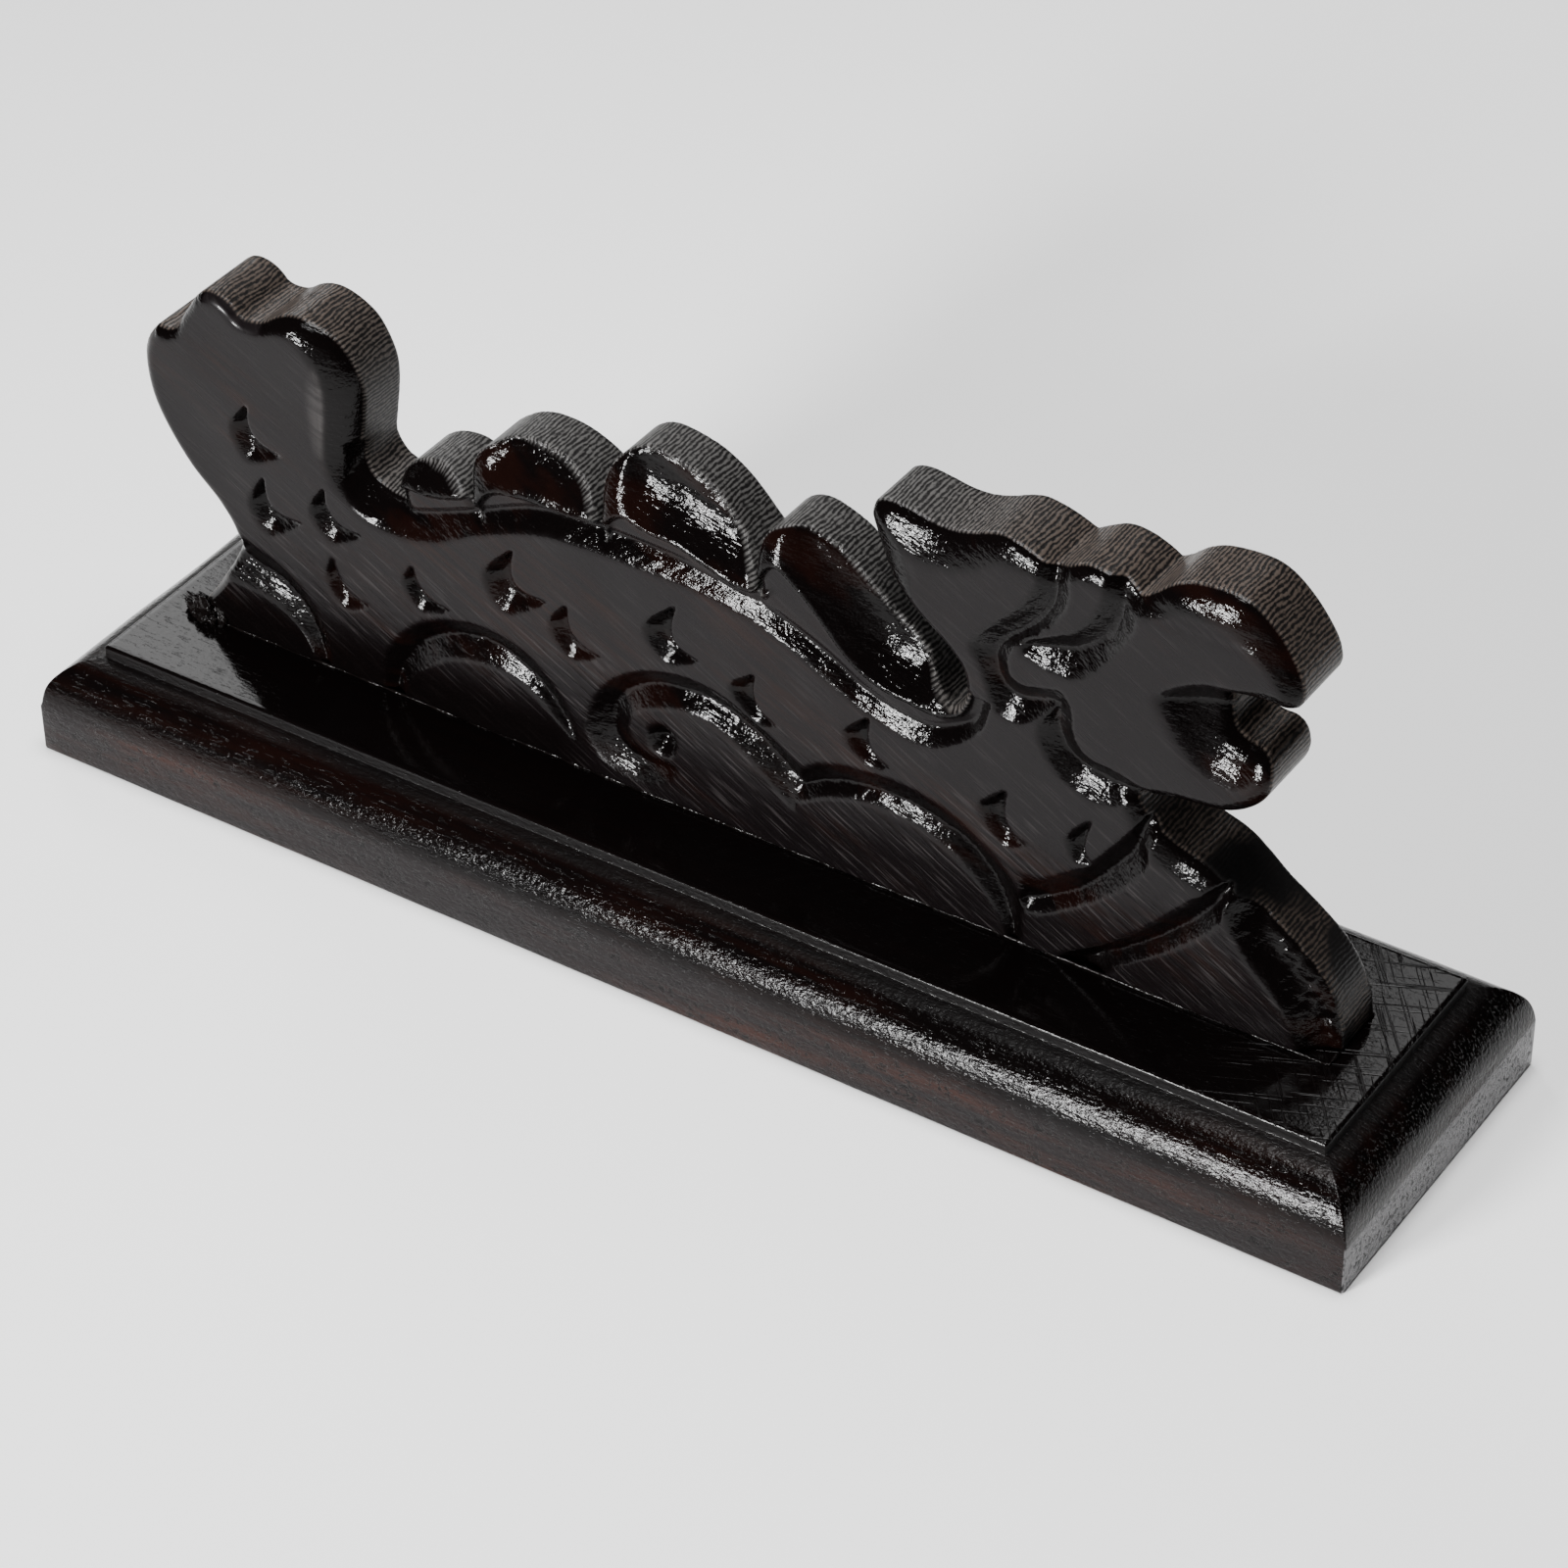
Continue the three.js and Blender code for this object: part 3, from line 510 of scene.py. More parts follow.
# The bevel towards the sawn edge: a soft break, then a curve that drops to the edge.
weight = np.full(GX.shape, 0.10)
bevel_width = weight * PLAIN_EDGE
bevel_depth = weight * PLAIN_EDGE
for x, z, width, depth in EDGE_BEVELS:
    near = np.exp(-((GX - x) ** 2 + (GZ - z) ** 2) / (2 * 3.4 ** 2))
    weight += near
    bevel_width += near * width
    bevel_depth += near * depth
widest = np.where(GZ < 18.5, 0.5, np.inf)
bevel_width = np.minimum(bevel_width / weight, widest)
bevel_depth = np.minimum(bevel_depth / weight, widest)
reach = np.clip(1 - np.maximum(signed, 0) / bevel_width, 0, 1)
round_over = bevel_depth * (0.35 * reach + 0.65 * (1 - np.sqrt(1 - reach ** 2)))
round_over = blur(round_over, 1.2)
half_map = np.maximum(HALF_THICK - PLAY - depth_map - round_over, THINNEST)

# The back carries the same cuts, but they run out before the edge, which is only eased.
eased = np.clip(1 - np.maximum(signed, 0) / PLAIN_EDGE, 0, 1)
back_depth = depth_map * (1 - 0.6 * blur(fin_map, 2)) * ease(signed / 2.6)
back_map = HALF_THICK - PLAY - back_depth - PLAIN_EDGE * (1 - np.sqrt(1 - eased ** 2))

# How far the saw's marks reach over the edge, and which parts were cut or bevelled.
wall_map = ease(1 - np.maximum(signed, 0) / (0.5 + 1.5 * fin_map))
gouge_map = np.maximum(gouge_map, blur(ease((reach - 0.04) / 0.2), 1.2) * (bevel_width > 1.5))
# A painted highlight: a thin lighter band where the tail's wide bevel leaves the face, used on the front
# only.
painted_ridge_map = np.exp(-((reach - 0.05) / 0.09) ** 2) * ease((bevel_width - 3.9) / 1.2) * (GX < -55)


def sample(field, x, z):
    """Bilinear value of a map at points."""
    u = np.clip((x - x_axis[0]) / GRID, 0, len(x_axis) - 1.001)
    v = np.clip((z - z_axis[0]) / GRID, 0, len(z_axis) - 1.001)
    i = u.astype(int)
    k = v.astype(int)
    fu = u - i
    fv = v - k
    return ((field[i, k] * (1 - fu) + field[i + 1, k] * fu) * (1 - fv)
            + (field[i, k + 1] * (1 - fu) + field[i + 1, k + 1] * fu) * fv)


# ---- from the map to a closed mesh ----

def half_thickness(x, y, z):
    return np.where(y < 0, sample(half_map, x, z), sample(back_map, x, z))


def solid_field(x, y, z):
    """Negative inside the carved board, positive outside."""
    face = np.abs(y) - half_thickness(x, y, z)
    wall = -sample(signed, x, z)
    field = np.maximum(np.maximum(face, wall), FOOT_Z - z)
    for screw_x in (TAIL_SCREW_X, HEAD_SCREW_X):
        hole = PILOT_RADIUS - np.hypot(x - screw_x, y)
        field = np.maximum(field, np.minimum(hole, SCREW_TOP + 0.4 - z))
    return field


def grid_part(spans):
    """An index into a 3-D grid that takes all of it but for {axis: (start, stop)}."""
    return tuple(slice(*spans.get(axis, (None, None))) for axis in range(3))


def surface_net(*nodes):
    """A closed quad mesh of the field's zero surface: one vertex per crossed cell."""
    grids = np.meshgrid(*nodes, indexing="ij")
    field = solid_field(*[grid.ravel() for grid in grids]).reshape(grids[0].shape)
    shape = tuple(n - 1 for n in field.shape)
    total = np.zeros(shape + (3,))
    count = np.zeros(shape)
    edges = []
    for axis in range(3):
        low = grid_part({axis: (0, -1)})
        high = grid_part({axis: (1, None)})
        a = field[low]
        b = field[high]
        crossed = (a < 0) != (b < 0)
        edges.append((crossed, a < 0))
        t = np.where(crossed, a / np.where(crossed, a - b, 1), 0)
        where = [grid[low] for grid in grids]
        where[axis] = where[axis] + t * (grids[axis][high] - where[axis])
        u, v = [k for k in range(3) if k != axis]
        for du, dv in ((0, 0), (0, 1), (1, 0), (1, 1)):
            part = grid_part({u: (du, du + shape[u]), v: (dv, dv + shape[v])})
            count += crossed[part]
            for k in range(3):
                total[..., k] += np.where(crossed[part], where[k][part], 0)
    used = count > 0
    index = np.full(shape, -1)
    index[used] = np.arange(used.sum())
    vertices = total[used] / count[used][:, None]
    quads = []
    for axis, (crossed, starts_inside) in enumerate(edges):
        u, v = [k for k in range(3) if k != axis]
        step_u, step_v = np.eye(3, dtype=int)[[u, v]]
        cells = np.argwhere(crossed[grid_part({u: (1, -1), v: (1, -1)})]) + step_u + step_v
        corners = [cells - step_u - step_v, cells - step_v, cells, cells - step_u]
        quad = np.stack([index[tuple(c.T)] for c in corners], axis=1)
        outward = starts_inside[tuple(cells.T)]
        flip = outward if axis == 1 else ~outward
        quad[flip] = quad[flip][:, ::-1]
        quads.append(quad)
    return vertices, np.concatenate(quads)


def settle(vertices, rounds):
    """Moves each vertex along the field's slope until it lies on the zero surface."""
    step = 0.05
    points = vertices.copy()
    for _ in range(rounds):
        value = solid_field(*points.T)
        slope = np.stack([solid_field(*(points + shift).T) - solid_field(*(points - shift).T)
                          for shift in step * np.eye(3)], axis=1) / (2 * step)
        size = np.maximum((slope ** 2).sum(axis=1), 0.2)
        move = -value[:, None] * slope / size[:, None]
        points += np.clip(move, -0.12, 0.12)
    return points


def relax(vertices, quads, amount):
    """Moves each vertex part of the way to the middle of its neighbours."""
    total = np.zeros_like(vertices)
    count = np.zeros(len(vertices))
    for k in range(4):
        a = quads[:, k]
        b = quads[:, (k + 1) % 4]
        for here, there in ((a, b), (b, a)):
            np.add.at(total, here, vertices[there])
            np.add.at(count, here, 1)
    return vertices + amount * (total / count[:, None] - vertices)


def link_object(name, data):
    obj = bpy.data.objects.new(name, data)
    bpy.context.scene.collection.objects.link(obj)
    return obj


def mesh_object(name, vertices, faces):
    """A smooth-shaded mesh object from points in millimetres."""
    mesh = bpy.data.meshes.new(name)
    mesh.from_pydata((np.array(vertices, float) * MM).tolist(), [], faces)
    mesh.polygons.foreach_set("use_smooth", np.ones(len(mesh.polygons), bool))
    mesh.validate()
    return link_object(name, mesh)


def carve_dragon():
    x_nodes = np.arange(dragon_low[0] - 1.1, dragon_high[0] + 1.2, VOXEL)
    y_nodes = (np.arange(38) - 18.5) * VOXEL
    z_nodes = np.arange(FOOT_Z - 0.7, dragon_high[2] + 1.2, VOXEL)
    vertices, quads = surface_net(x_nodes, y_nodes, z_nodes)
    vertices = settle(vertices, 2)
    vertices = relax(vertices, quads, 0.5)
    vertices = settle(vertices, 4)
    vertices = np.clip(vertices, dragon_low, dragon_high)
    obj = mesh_object("carved_dragon", vertices, quads.tolist())
    x, y, z = vertices.T
    over_edge = ease((half_thickness(x, y, z) - np.abs(y)) / 0.3 + 0.6)
    for name, values in (("sawn", sample(wall_map, x, z) * over_edge),
                         ("gouged", sample(gouge_map, x, z)),
                         ("along", sample(along_map, x, z)),
                         ("painted_ridge_highlight", sample(painted_ridge_map, x, z) * (y < 0))):
        attribute = obj.data.attributes.new(name, "FLOAT", "POINT")
        attribute.data.foreach_set("value", np.asarray(values, np.float32))
    return obj


# ---- the base board ----

def quarter_round(inset, z, radius, count):
    """Points up a quarter circle that starts upright at (inset, z), without that start."""
    return [(inset + radius * (1 - math.cos(a)), z + radius * math.sin(a))
            for a in np.linspace(0, math.pi / 2, count)[1:]]


def base_profile():
    """The moulding's section from the underside to the panel: (inset, z)."""
    step = EDGE_HEIGHT + ROUND_RADIUS
    return [(0.45, 0), (0.2, 0.05), (0.05, 0.2), (0, 0.45), (0, 2.5), (0, 4.9), (0, EDGE_HEIGHT),
            *quarter_round(0, EDGE_HEIGHT, ROUND_RADIUS, 22)[:-1],
            (ROUND_RADIUS - 0.25, step), (ROUND_RADIUS - 0.08, step + 0.05),
            (ROUND_RADIUS, step + 0.2), (ROUND_RADIUS, PANEL_TOP - PANEL_ROUND),
            *quarter_round(ROUND_RADIUS, PANEL_TOP - PANEL_ROUND, PANEL_ROUND, 5),
            (ROUND_RADIUS + 1.0, PANEL_TOP)]


def rectangle_ring(half_x, half_y, corner):
    """Points round a rectangle with small round corners, the same count every time."""
    points = []
    for sx, sy, turn in ((1, -1, -90), (1, 1, 0), (-1, 1, 90), (-1, -1, 180)):
        centre = np.array([sx * (half_x - corner), sy * (half_y - corner)])
        for angle in np.radians(np.linspace(turn, turn + 90, 6)):
            points.append(centre + corner * np.array([math.cos(angle), math.sin(angle)]))
    filled = []
    for i, a in enumerate(points):
        b = points[(i + 1) % len(points)]
        pieces = {5: 24, 11: 90, 17: 24, 23: 90}.get(i, 1)
        for t in np.linspace(0, 1, pieces, endpoint=False):
            filled.append(a + (b - a) * t)
    return np.array(filled)


def ring_faces(rings, sides, start=0, closed=False, turned=False):
    """Quads between neighbouring rings of points; closed joins the last to the first."""
    faces = []
    for i in range(rings if closed else rings - 1):
        low = start + i * sides
        high = start + (i + 1) % rings * sides
        for k in range(sides):
            m = (k + 1) % sides
            if turned:
                faces.append((low + k, high + k, high + m, low + m))
            else:
                faces.append((low + k, low + m, high + m, high + k))
    return faces


def build_base():
    vertices = []
    profile = base_profile()
    for inset, z in profile:
        ring = rectangle_ring(HALF_LENGTH - inset, HALF_WIDTH - inset, 0.25)
        wander = 0.05 * waves(ring[:, 0] + 3 * z, ring[:, 1] + 5 * z, 31, 34)
        if 0 < inset < ROUND_RADIUS - 0.3:
            ring = ring * (1 - np.abs(wander)[:, None] / HALF_WIDTH)
        vertices.append(np.column_stack([ring, np.full(len(ring), z)]))
    count = len(vertices[0])
    top = tuple(range((len(profile) - 1) * count, len(profile) * count))
    bottom = tuple(range(count))[::-1]
    faces = ring_faces(len(profile), count) + [top, bottom]
    return mesh_object("moulded_base", np.concatenate(vertices), faces)


def lathe(name, profile, sides):
    """A closed turned mesh about z from (radius, z) pairs; the ends lie on the axis."""
    angles = np.linspace(0, 2 * math.pi, sides, endpoint=False)
    vertices = [(0, 0, profile[0][1])]
    vertices += [(radius * math.cos(a), radius * math.sin(a), z)
                 for radius, z in profile[1:-1] for a in angles]
    vertices.append((0, 0, profile[-1][1]))
    last = len(vertices) - 1
    top = last - sides
    faces = [(0, 1 + (i + 1) % sides, 1 + i) for i in range(sides)]
    faces += ring_faces(len(profile) - 2, sides, start=1)
    faces += [(top + i, top + (i + 1) % sides, last) for i in range(sides)]
    return mesh_object(name, vertices, faces)


def cut_away(obj, cutter):
    """Subtracts cutter from obj and removes the cutter."""
    modifier = obj.modifiers.new("cut", "BOOLEAN")
    modifier.operation = "DIFFERENCE"
    modifier.solver = "EXACT"
    modifier.object = cutter
    bpy.context.view_layer.update()
    depsgraph = bpy.context.evaluated_depsgraph_get()
    mesh = bpy.data.meshes.new_from_object(obj.evaluated_get(depsgraph))
    obj.modifiers.clear()
    obj.data = mesh
    bpy.data.objects.remove(cutter)


def shade(obj, degrees):
    """Smooth shading with sharp edges where faces meet at more than the angle."""
    mesh = obj.data
    mesh.polygons.foreach_set("use_smooth", np.ones(len(mesh.polygons), bool))
    mesh.set_sharp_from_angle(angle=math.radians(degrees))


def build_screw(name, x):
    """A slotted countersunk wood screw, head down, with a cut thread."""
    head_z = SCREW_BOTTOM
    profile = [(0, head_z), (3.0, head_z), (3.3, head_z + 0.06), (3.35, head_z + 0.2),
               (3.33, head_z + 0.35), (1.75, head_z + 2.1), (1.72, head_z + 2.6)]
    sides = 40
    thread_start = head_z + 7
    levels = np.arange(head_z + 3.0, SCREW_TOP - 0.2, 0.25)
    profile += [(1.7, z) for z in levels] + [(0, SCREW_TOP)]
    screw = lathe(name, profile, sides)
    for vertex in screw.data.vertices:
        px, py, pz = np.array(vertex.co) / MM
        radius = math.hypot(px, py)
        if pz < head_z + 2.9 or radius < 0.01:
            continue
        turn = math.atan2(py, px) / (2 * math.pi)
        phase = (pz / 1.5 - turn) % 1.0
        crest = max(0, 1 - abs(phase - 0.5) * 5)
        core = 1.7 if pz < thread_start else 1.15 + 0.55 * crest
        taper = min(1, max(0.12, (SCREW_TOP - pz) / 3.5))
        scale = core * taper / radius
        vertex.co.x *= scale
        vertex.co.y *= scale
    slot = lathe(name + "_slot", [(0, -4), (0.45, -4), (0.45, 4), (0, 4)], 4)
    for vertex in slot.data.vertices:
        px, py, pz = np.array(vertex.co) / MM
        vertex.co = Vector((pz, (px + py) * 0.9, head_z - 1 + 1.75 * (px - py > 0))) * MM
    outward = bmesh.new()
    outward.from_mesh(slot.data)
    bmesh.ops.recalc_face_normals(outward, faces=outward.faces)
    outward.to_mesh(slot.data)
    outward.free()
    cut_away(screw, slot)
    screw.data.transform(Matrix.Translation((x * MM, 0, 0)))
    shade(screw, 35)
    return screw


def build_bead():
    """The bead of glue and lacquer squeezed out along the foot of the carving."""
    left = -87.3
    right = 86.7
    side = HALF_THICK - 0.35
    path = [(x, -side) for x in np.arange(left, right, 0.5)]
    path += [(right, y) for y in np.arange(-side, side, 0.5)]
    path += [(x, side) for x in np.arange(right, left, -0.5)]
    path += [(left, y) for y in np.arange(side, -side, -0.5)]
    path = np.array(path)
    ahead = np.roll(path, -2, axis=0) - np.roll(path, 2, axis=0)
    ahead /= np.maximum(np.hypot(*ahead.T), 1e-9)[:, None]
    out = np.column_stack([ahead[:, 1], -ahead[:, 0]])
    size = 0.22 + 0.07 * waves(path[:, 0], path[:, 1] * 3, 41, 3.2)
    size = np.clip(size + 0.06 * waves(path[:, 0], path[:, 1] * 3, 42, 9), 0.08, 0.42)
    sides = 10
    rows = []
    for angle in np.linspace(0, 2 * math.pi, sides, endpoint=False):
        shift = out * (size * math.cos(angle))[:, None]
        rows.append(np.column_stack([path + shift, PANEL_TOP + 0.16
                                     + size * math.sin(angle)]))
    vertices = np.stack(rows, axis=1).reshape(-1, 3)
    faces = ring_faces(len(path), sides, closed=True, turned=True)
    return mesh_object("glue_bead", vertices, faces)


def build_lump():
    """A rough lump of glue and filler at the hind foot."""
    rows, turns = 30, 54
    polar = np.repeat(math.pi * (np.arange(rows) + 0.5) / rows, turns)
    round_z = np.tile(2 * math.pi * np.arange(turns) / turns, rows)
    direction = np.column_stack([np.sin(polar) * np.cos(round_z),
                                 np.sin(polar) * np.sin(round_z), np.cos(polar)])
    u = direction[:, 0] * 3 + direction[:, 1] * 2
    v = direction[:, 2] * 3 - direction[:, 1] * 2.4
    swell = 1 + 0.17 * waves(u, v, 51, 2.4) + 0.13 * waves(u, v, 52, 1.0)
    vertices = LUMP_CENTRE + direction * LUMP_SIZE * swell[:, None]
    faces = ring_faces(rows, turns, turned=True)
    return mesh_object("glue_lump", vertices, faces)


dragon = carve_dragon()
lump = build_lump()
base = build_base()
for screw_x in (TAIL_SCREW_X, HEAD_SCREW_X):
    hole = lathe("hole", [(0, -1), (COUNTERSINK_RADIUS, -1), (COUNTERSINK_RADIUS, 1.0),
                          (PILOT_RADIUS, 3.2), (PILOT_RADIUS, 20), (0, 20)], 48)
    hole.data.transform(Matrix.Translation((screw_x * MM, 0, 0)))
    cut_away(base, hole)
shade(base, 38)
bead = build_bead()
tail_screw = build_screw("screw_at_tail", TAIL_SCREW_X)
head_screw = build_screw("screw_at_head", HEAD_SCREW_X)

for piece, node, slot in ((dragon, "dragon_carving", "carved_wood"),
                          (base, "base_board", "base_wood"),
                          (tail_screw, "tail_screw", "screw_steel"),
                          (head_screw, "head_screw", "screw_steel")):
    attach(piece, "root")
    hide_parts(node)
for piece in (bead, lump):
    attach(piece, "root")

# ---- materials ----

class Nodes:
    """Short calls for building a material's node tree."""

    def __init__(self, name):
        self.material = bpy.data.materials.new(name)
        self.material.use_nodes = True
        self.tree = self.material.node_tree
        self.shader = self.tree.nodes["Principled BSDF"]
        self.place = self.scaled(self.add("TexCoord", {})["Object"], 1 / MM)

    def feed(self, socket, value):
        if isinstance(value, bpy.types.NodeSocket):
            self.tree.links.new(value, socket)
        else:
            socket.default_value = value

    def surface(self, values):
        """Sets or links the shader's inputs."""
        for name, value in values.items():
            self.feed(self.shader.inputs[name], value)

    def add(self, kind, inputs, **settings):
        """Adds a node with its settings and inputs, and gives its outputs."""
        node = self.tree.nodes.new("ShaderNode" + kind)
        for name, value in settings.items():
            setattr(node, name, value)
        for name, value in inputs.items():
            self.feed(node.inputs[name], value)
        return node.outputs

    def math(self, operation, a, b=0.0):
        return self.add("Math", {0: a, 1: b}, operation=operation)[0]

    def times(self, a, b):
        return self.math("MULTIPLY", a, b)

    def plus(self, a, b):
        return self.math("ADD", a, b)

    def minus(self, a, b):
        return self.math("SUBTRACT", a, b)

    def scaled(self, vector, scale):
        """A vector times one number, or one for each axis."""
        scale = scale if isinstance(scale, tuple) else (scale,) * 3
        return self.add("VectorMath", {0: vector, 1: scale}, operation="MULTIPLY")[0]

    def turned(self, vector, degrees, axis=(0, 1, 0)):
        angle = math.radians(degrees)
        return self.add("VectorRotate", {"Vector": vector, "Axis": axis, "Angle": angle})[0]

    def noise(self, vector, scale, detail=3.0, roughness=0.55):
        """Noise with about scale waves in a millimetre."""
        return self.add("TexNoise", {"Vector": self.scaled(vector, scale), "Scale": 1.0,
                                     "Detail": detail, "Roughness": roughness})["Fac"]

    def ramp(self, value, low, high, to_low=0.0, to_high=1.0):
        return self.add("MapRange", {"From Min": low, "From Max": high, "To Min": to_low,
                                     "To Max": to_high, "Value": value},
                        interpolation_type="SMOOTHSTEP")[0]

    def mix(self, factor, a, b):
        return self.add("Mix", {"Factor": factor, "A": a, "B": b}, data_type="RGBA")["Result"]

    def attribute(self, name):
        return self.add("Attribute", {}, attribute_name=name)["Fac"]

    def split(self, vector):
        return self.add("SeparateXYZ", {0: vector})

    def join(self, x, y, z):
        return self.add("CombineXYZ", {0: x, 1: y, 2: z})[0]

    def bump(self, height, distance):
        normal = self.add("Bump", {"Strength": 1.0, "Distance": distance * MM,
                                   "Height": height})[0]
        self.surface({"Normal": normal, "Coat Normal": normal})


FACE_WOOD = (0.0034, 0.0026, 0.0028, 1)
FACE_RED = (0.0075, 0.0035, 0.0028, 1)
BASE_WOOD = (0.0056, 0.0043, 0.0045, 1)
BASE_RED = (0.0165, 0.0064, 0.0046, 1)
# painted reflection: pale grey for the base's end faces
END_GRAIN_PAINTED_REFLECTION = (0.10, 0.097, 0.10, 1)
FIBRE = (0.019, 0.0165, 0.0165, 1)
# painted highlight colour for the tail's ridge
RIDGE_HIGHLIGHT_GREY = (0.040, 0.037, 0.036, 1)
BLACK = (0.0013, 0.0009, 0.0009, 1)
CUT_RED = (0.0034, 0.0013, 0.0010, 1)
SAWN_BROWN = (0.054, 0.042, 0.035, 1)
SAWN_GREY = (0.062, 0.060, 0.058, 1)
SAWN_DARK = (0.006, 0.0055, 0.0055, 1)


def lacquer(nodes):
    nodes.surface({"IOR": 1.42, "Specular IOR Level": 0.10, "Coat Weight": 0.12,
                   "Coat Roughness": 0.06, "Coat IOR": 1.4})


def carved_material():
    n = Nodes("lacquered_carving")
    lacquer(n)
    sawn = n.ramp(n.attribute("sawn"), 0.3, 0.7)
    gouged = n.attribute("gouged")
    flat = n.minus(1.0, gouged)
    along = n.attribute("along")
    x, y, z = n.split(n.place)
    # stained wood: purple-brown on the sanded faces, black in the cuts, redder in patches, and painted
    # shade that turns the faces black low down
    patches = n.noise(n.turned(n.place, -24), (0.035, 0.09, 0.13), 4.0)
    streaks = n.noise(n.turned(n.place, -24), (0.08, 0.5, 0.9), 4.0)
    worn = n.times(n.ramp(patches, 0.46, 0.7), n.ramp(streaks, 0.35, 0.7))
    face = n.mix(worn, FACE_WOOD, FACE_RED)
    fibres = n.noise(n.turned(n.place, -30), (0.13, 1.0, 2.4), 2.0, 0.5)
    low_down = n.ramp(z, 22, 46, 1.0, 0.15)
    # Painted shade: low on the faces, most of all on the left, the face colour turns black for the black
    # base they mirror; the fibre strokes fade out with it.
    outside_painted_shade = n.ramp(z, 19, 28, n.ramp(x, -28, -16, 0.05, 0.7), 1.0)
    low_down = n.times(low_down, outside_painted_shade)
    face = n.mix(outside_painted_shade, BLACK, face)
    face = n.mix(n.times(n.ramp(fibres, 0.54, 0.70), low_down), face, FIBRE)
    cut = n.mix(n.ramp(patches, 0.52, 0.64), BLACK, CUT_RED)
    colour = n.mix(gouged, face, cut)
    # painted highlight: a lighter grey streak along the tail's ridge, broken up by the streaks
    ridge_shine = n.times(n.attribute("painted_ridge_highlight"), n.ramp(streaks, 0.3, 0.6, 0.35, 1.0))
    colour = n.mix(ridge_shine, colour, RIDGE_HIGHLIGHT_GREY)
    # saw marks across the thickness on the sawn edge
    drift = n.noise(n.join(along, n.times(y, 0.5), 0.0), 0.35, 2.0)
    phase = n.plus(n.times(along, 2 * math.pi / 0.62), n.times(drift, 16.0))
    lines = n.plus(n.times(n.math("SINE", phase), 0.5), 0.5)
    edge_place = n.join(n.times(along, 2.3), n.times(y, 1.3), n.times(along, 0.02))
    broken = n.noise(edge_place, 1, 3.0, 0.62)
    marks = n.plus(n.times(lines, 0.26), n.times(broken, 0.74))
    light_line = n.ramp(marks, 0.40, 0.64)
    head = n.plus(n.ramp(x, 22, 48), n.ramp(x, -50, -66))
    sawn_tint = n.mix(head, SAWN_GREY, SAWN_BROWN)
    blotches = n.ramp(n.noise(n.place, 0.12, 1.0), 0.42, 0.55, 0.35, 1.0)
    stained = n.times(n.ramp(z, 50, 38), blotches)
    sawn_tint = n.mix(n.times(stained, n.ramp(x, 55, 62)), sawn_tint, SAWN_DARK)
    sawn_colour = n.mix(light_line, SAWN_DARK, sawn_tint)
    colour = n.mix(sawn, colour, sawn_colour)
    # surface: planed grain on the faces, tool ripples in the cuts, ridges on the edge
    grain = n.noise(n.turned(n.place, -30), (0.18, 1.0, 2.0), 3.0, 0.6)
    planed = n.times(flat, low_down)
    peel = n.noise(n.place, 1.7, 2.0, 0.6)
    tool = n.noise(n.turned(n.place, -14), (0.35, 1.0, 2.0), 2.0)
    height = n.times(grain, n.times(planed, 0.5))
    ripples = n.plus(n.times(peel, 0.50), n.times(tool, 0.55))
    height = n.plus(height, n.times(ripples, n.plus(gouged, 0.04)))
    height = n.times(height, n.minus(1.0, sawn))
    height = n.plus(height, n.times(marks, n.times(sawn, 0.6)))
    n.bump(height, 0.16)
    satin = n.ramp(grain, 0.3, 0.7, 0.24, 0.36)
    # glossier where the painted shade lies, so those faces mirror the black base crisply
    satin = n.minus(satin, n.times(n.minus(1.0, outside_painted_shade), 0.14))
    polish = n.ramp(peel, 0.3, 0.7, 0.08, 0.13)
    rough = n.plus(n.times(satin, flat), n.times(polish, gouged))
    n.surface({"Base Color": colour, "Roughness": n.plus(rough, n.times(sawn, 0.25))})
    return n.material


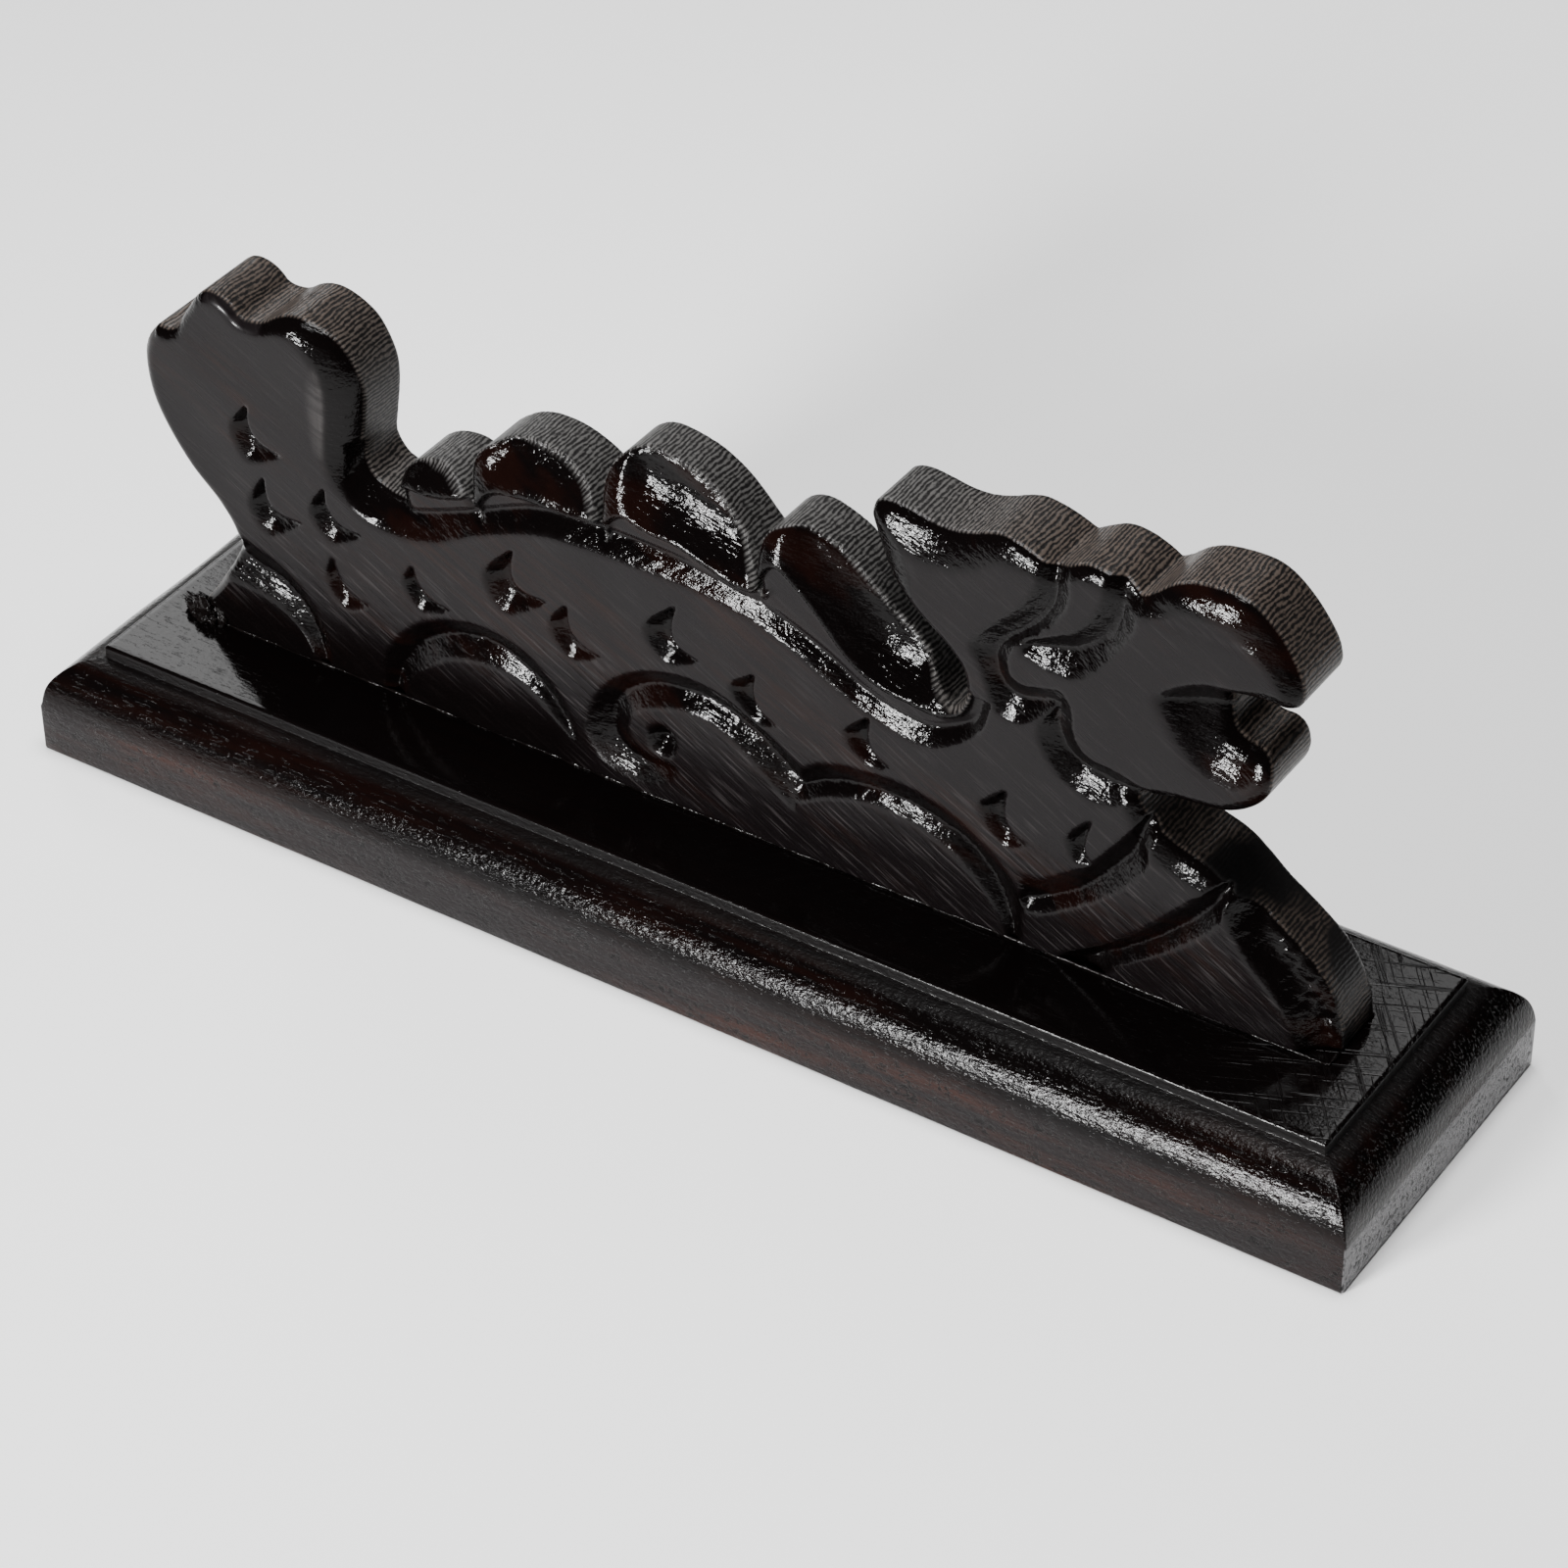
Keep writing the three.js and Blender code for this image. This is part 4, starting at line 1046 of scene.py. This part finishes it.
def base_material():
    n = Nodes("lacquered_base")
    lacquer(n)
    x, y, z = n.split(n.place)
    patches = n.noise(n.place, (0.02, 0.08, 0.12), 4.0)
    streaks = n.noise(n.place, (0.05, 0.7, 0.7), 4.0)
    worn = n.times(n.ramp(patches, 0.40, 0.64), n.ramp(streaks, 0.3, 0.7))
    below_panel = n.ramp(z, 13.6, 14.2, 1.0, 0.15)
    worn = n.times(worn, below_panel)
    flank = n.ramp(z, 6.4, 9.6, 1.0, 0.0)
    wood = n.mix(flank, BLACK, BASE_WOOD)
    colour = n.mix(worn, wood, n.mix(flank, CUT_RED, BASE_RED))
    # Painted reflection: the lower end faces are painted pale grey for the pale floor they reflect; the
    # black pores in them are real.
    ends = n.times(n.ramp(n.math("ABSOLUTE", x), 99.75, 99.9), n.ramp(z, 6.9, 7.5, 1.0, 0.0))
    colour = n.mix(ends, colour, END_GRAIN_PAINTED_REFLECTION)
    # open pores: short dark dashes along the grain, specks on the end grain
    dashes = n.ramp(n.noise(n.place, (0.45, 3.0, 3.0), 2.0, 0.65), 0.60, 0.68)
    specks = n.ramp(n.noise(n.place, (1.1, 1.3, 1.3), 3.0, 0.7), 0.54, 0.60)
    clusters = n.ramp(n.noise(n.place, 0.2, 2.0), 0.38, 0.58, 0.25, 1.0)
    specks = n.times(specks, clusters)
    pore = n.math("MAXIMUM", n.times(dashes, n.minus(1.0, ends)), n.times(specks, flank))
    colour = n.mix(n.times(pore, 0.9), colour, BLACK)
    # fine orange peel on the round-over, grain on the flank, scratches at the right end
    grain = n.noise(n.place, (0.16, 1.8, 1.8), 3.0, 0.6)
    peel = n.noise(n.place, (1.1, 1.9, 1.9), 3.0, 0.6)
    scratch_a = n.ramp(n.noise(n.turned(n.place, 52, (0, 0, 1)), (0.07, 2.2, 1), 1.0), 0.60, 0.68)
    scratch_b = n.ramp(n.noise(n.turned(n.place, -24, (0, 0, 1)), (0.06, 2.0, 1), 1.0), 0.60, 0.68)
    right_end = n.times(n.ramp(x, 68, 88), n.ramp(z, 15.2, 15.7))
    scratches = n.times(n.math("MAXIMUM", scratch_a, scratch_b), right_end)
    height = n.plus(n.times(grain, 0.4), n.times(peel, 0.85))
    height = n.minus(height, n.times(pore, n.plus(n.times(ends, 1.6), 0.4)))
    height = n.times(height, n.ramp(z, 15.2, 15.7, 1.0, 0.12))
    height = n.minus(height, n.times(scratches, 0.35))
    n.bump(height, 0.13)
    rough = n.ramp(grain, 0.3, 0.7, 0.09, 0.16)
    rough = n.plus(rough, n.times(n.times(pore, ends), 0.4))
    step = n.times(n.ramp(z, 13.2, 13.8), n.ramp(z, 15.3, 15.7, 1.0, 0.0))
    rough = n.plus(rough, n.times(step, 0.3))
    rough = n.minus(rough, n.ramp(z, 15.3, 15.75, 0.0, 0.05))
    n.surface({"Base Color": colour, "Roughness": n.plus(rough, n.times(scratches, 0.25))})
    return n.material


def bead_material():
    n = Nodes("lacquered_bead")
    lacquer(n)
    tint = n.noise(n.place, 0.3, 2.0)
    n.surface({"Base Color": n.mix(tint, BLACK, (0.004, 0.003, 0.0028, 1)),
               "Roughness": n.ramp(tint, 0.3, 0.7, 0.15, 0.25)})
    n.bump(n.noise(n.place, 1.2, 2.0), 0.2)
    return n.material


def steel_material():
    n = Nodes("plated_steel")
    mottle = n.noise(n.place, 1.1, 4.0)
    brushed = n.noise(n.place, (8, 8, 1.2), 2.0)
    n.surface({"Metallic": 1.0,
               "Base Color": n.mix(mottle, (0.42, 0.41, 0.38, 1), (0.68, 0.67, 0.63, 1)),
               "Roughness": n.ramp(brushed, 0.3, 0.7, 0.28, 0.45)})
    n.bump(brushed, 0.02)
    return n.material


glue = bead_material()
steel = steel_material()
for piece, material in ((dragon, carved_material()), (base, base_material()), (bead, glue),
                        (lump, glue), (tail_screw, steel), (head_screw, steel)):
    piece.data.materials.clear()
    piece.data.materials.append(material)

# ---- floor, light and camera ----

paper = Nodes("floor_paper")
white = paper.mix(paper.noise(paper.place, 0.004, 2.0),
                  (0.88, 0.88, 0.88, 1), (0.91, 0.91, 0.91, 1))
paper.surface({"Base Color": white, "Roughness": 0.95, "Specular IOR Level": 0.1})
REACH = 4000
floor = mesh_object("floor", [(-REACH, -REACH, 0), (REACH, -REACH, 0),
                              (REACH, REACH, 0), (-REACH, REACH, 0)], [(0, 1, 2, 3)])
floor.data.materials.append(paper.material)


AIM = Vector((0, 0, 0.035))


def area_light(name, place, size_x, size_y, power, spread):
    light = bpy.data.lights.new(name, "AREA")
    light.shape = "RECTANGLE"
    light.size = size_x
    light.size_y = size_y
    light.energy = power
    light.spread = spread
    obj = link_object(name, light)
    obj.location = place
    obj.rotation_euler = (AIM - Vector(place)).to_track_quat("-Z", "Y").to_euler()


for light_row in (("front_box", (-0.265, -1.06, 0.39), 0.29, 0.21, 6.4, 1.3),
                  ("front_fill", (0.1, -1.25, 0.30), 1.7, 0.28, 0.4, 1.6),
                  ("left_box", (-0.84, 0.62, 0.66), 0.34, 0.5, 1.15, 1.6),
                  ("right_box", (-0.24, 0.84, 0.80), 0.14, 0.3, 0.16, 1.6),
                  ("overhead", (0.05, 0.02, 0.85), 0.4, 0.4, 6.2, 2.4)):
    area_light(*light_row)

world = bpy.data.worlds.new("studio")
world.use_nodes = True
background = world.node_tree.nodes["Background"]
background.inputs["Color"].default_value = (0.92, 0.95, 1, 1)
background.inputs["Strength"].default_value = 0.03
bpy.context.scene.world = world

camera_data = bpy.data.cameras.new("camera")
camera_data.sensor_width = 36
camera_data.lens = 117.26
camera_data.shift_x = -0.007
camera_data.shift_y = -0.0009
camera_data.clip_end = 20
camera = link_object("camera", camera_data)
camera.location = (0.2913, -0.4297, 0.4221)
camera.rotation_euler = Euler([math.radians(a) for a in (52.19, 0.538, 33.166)])
bpy.context.scene.camera = camera
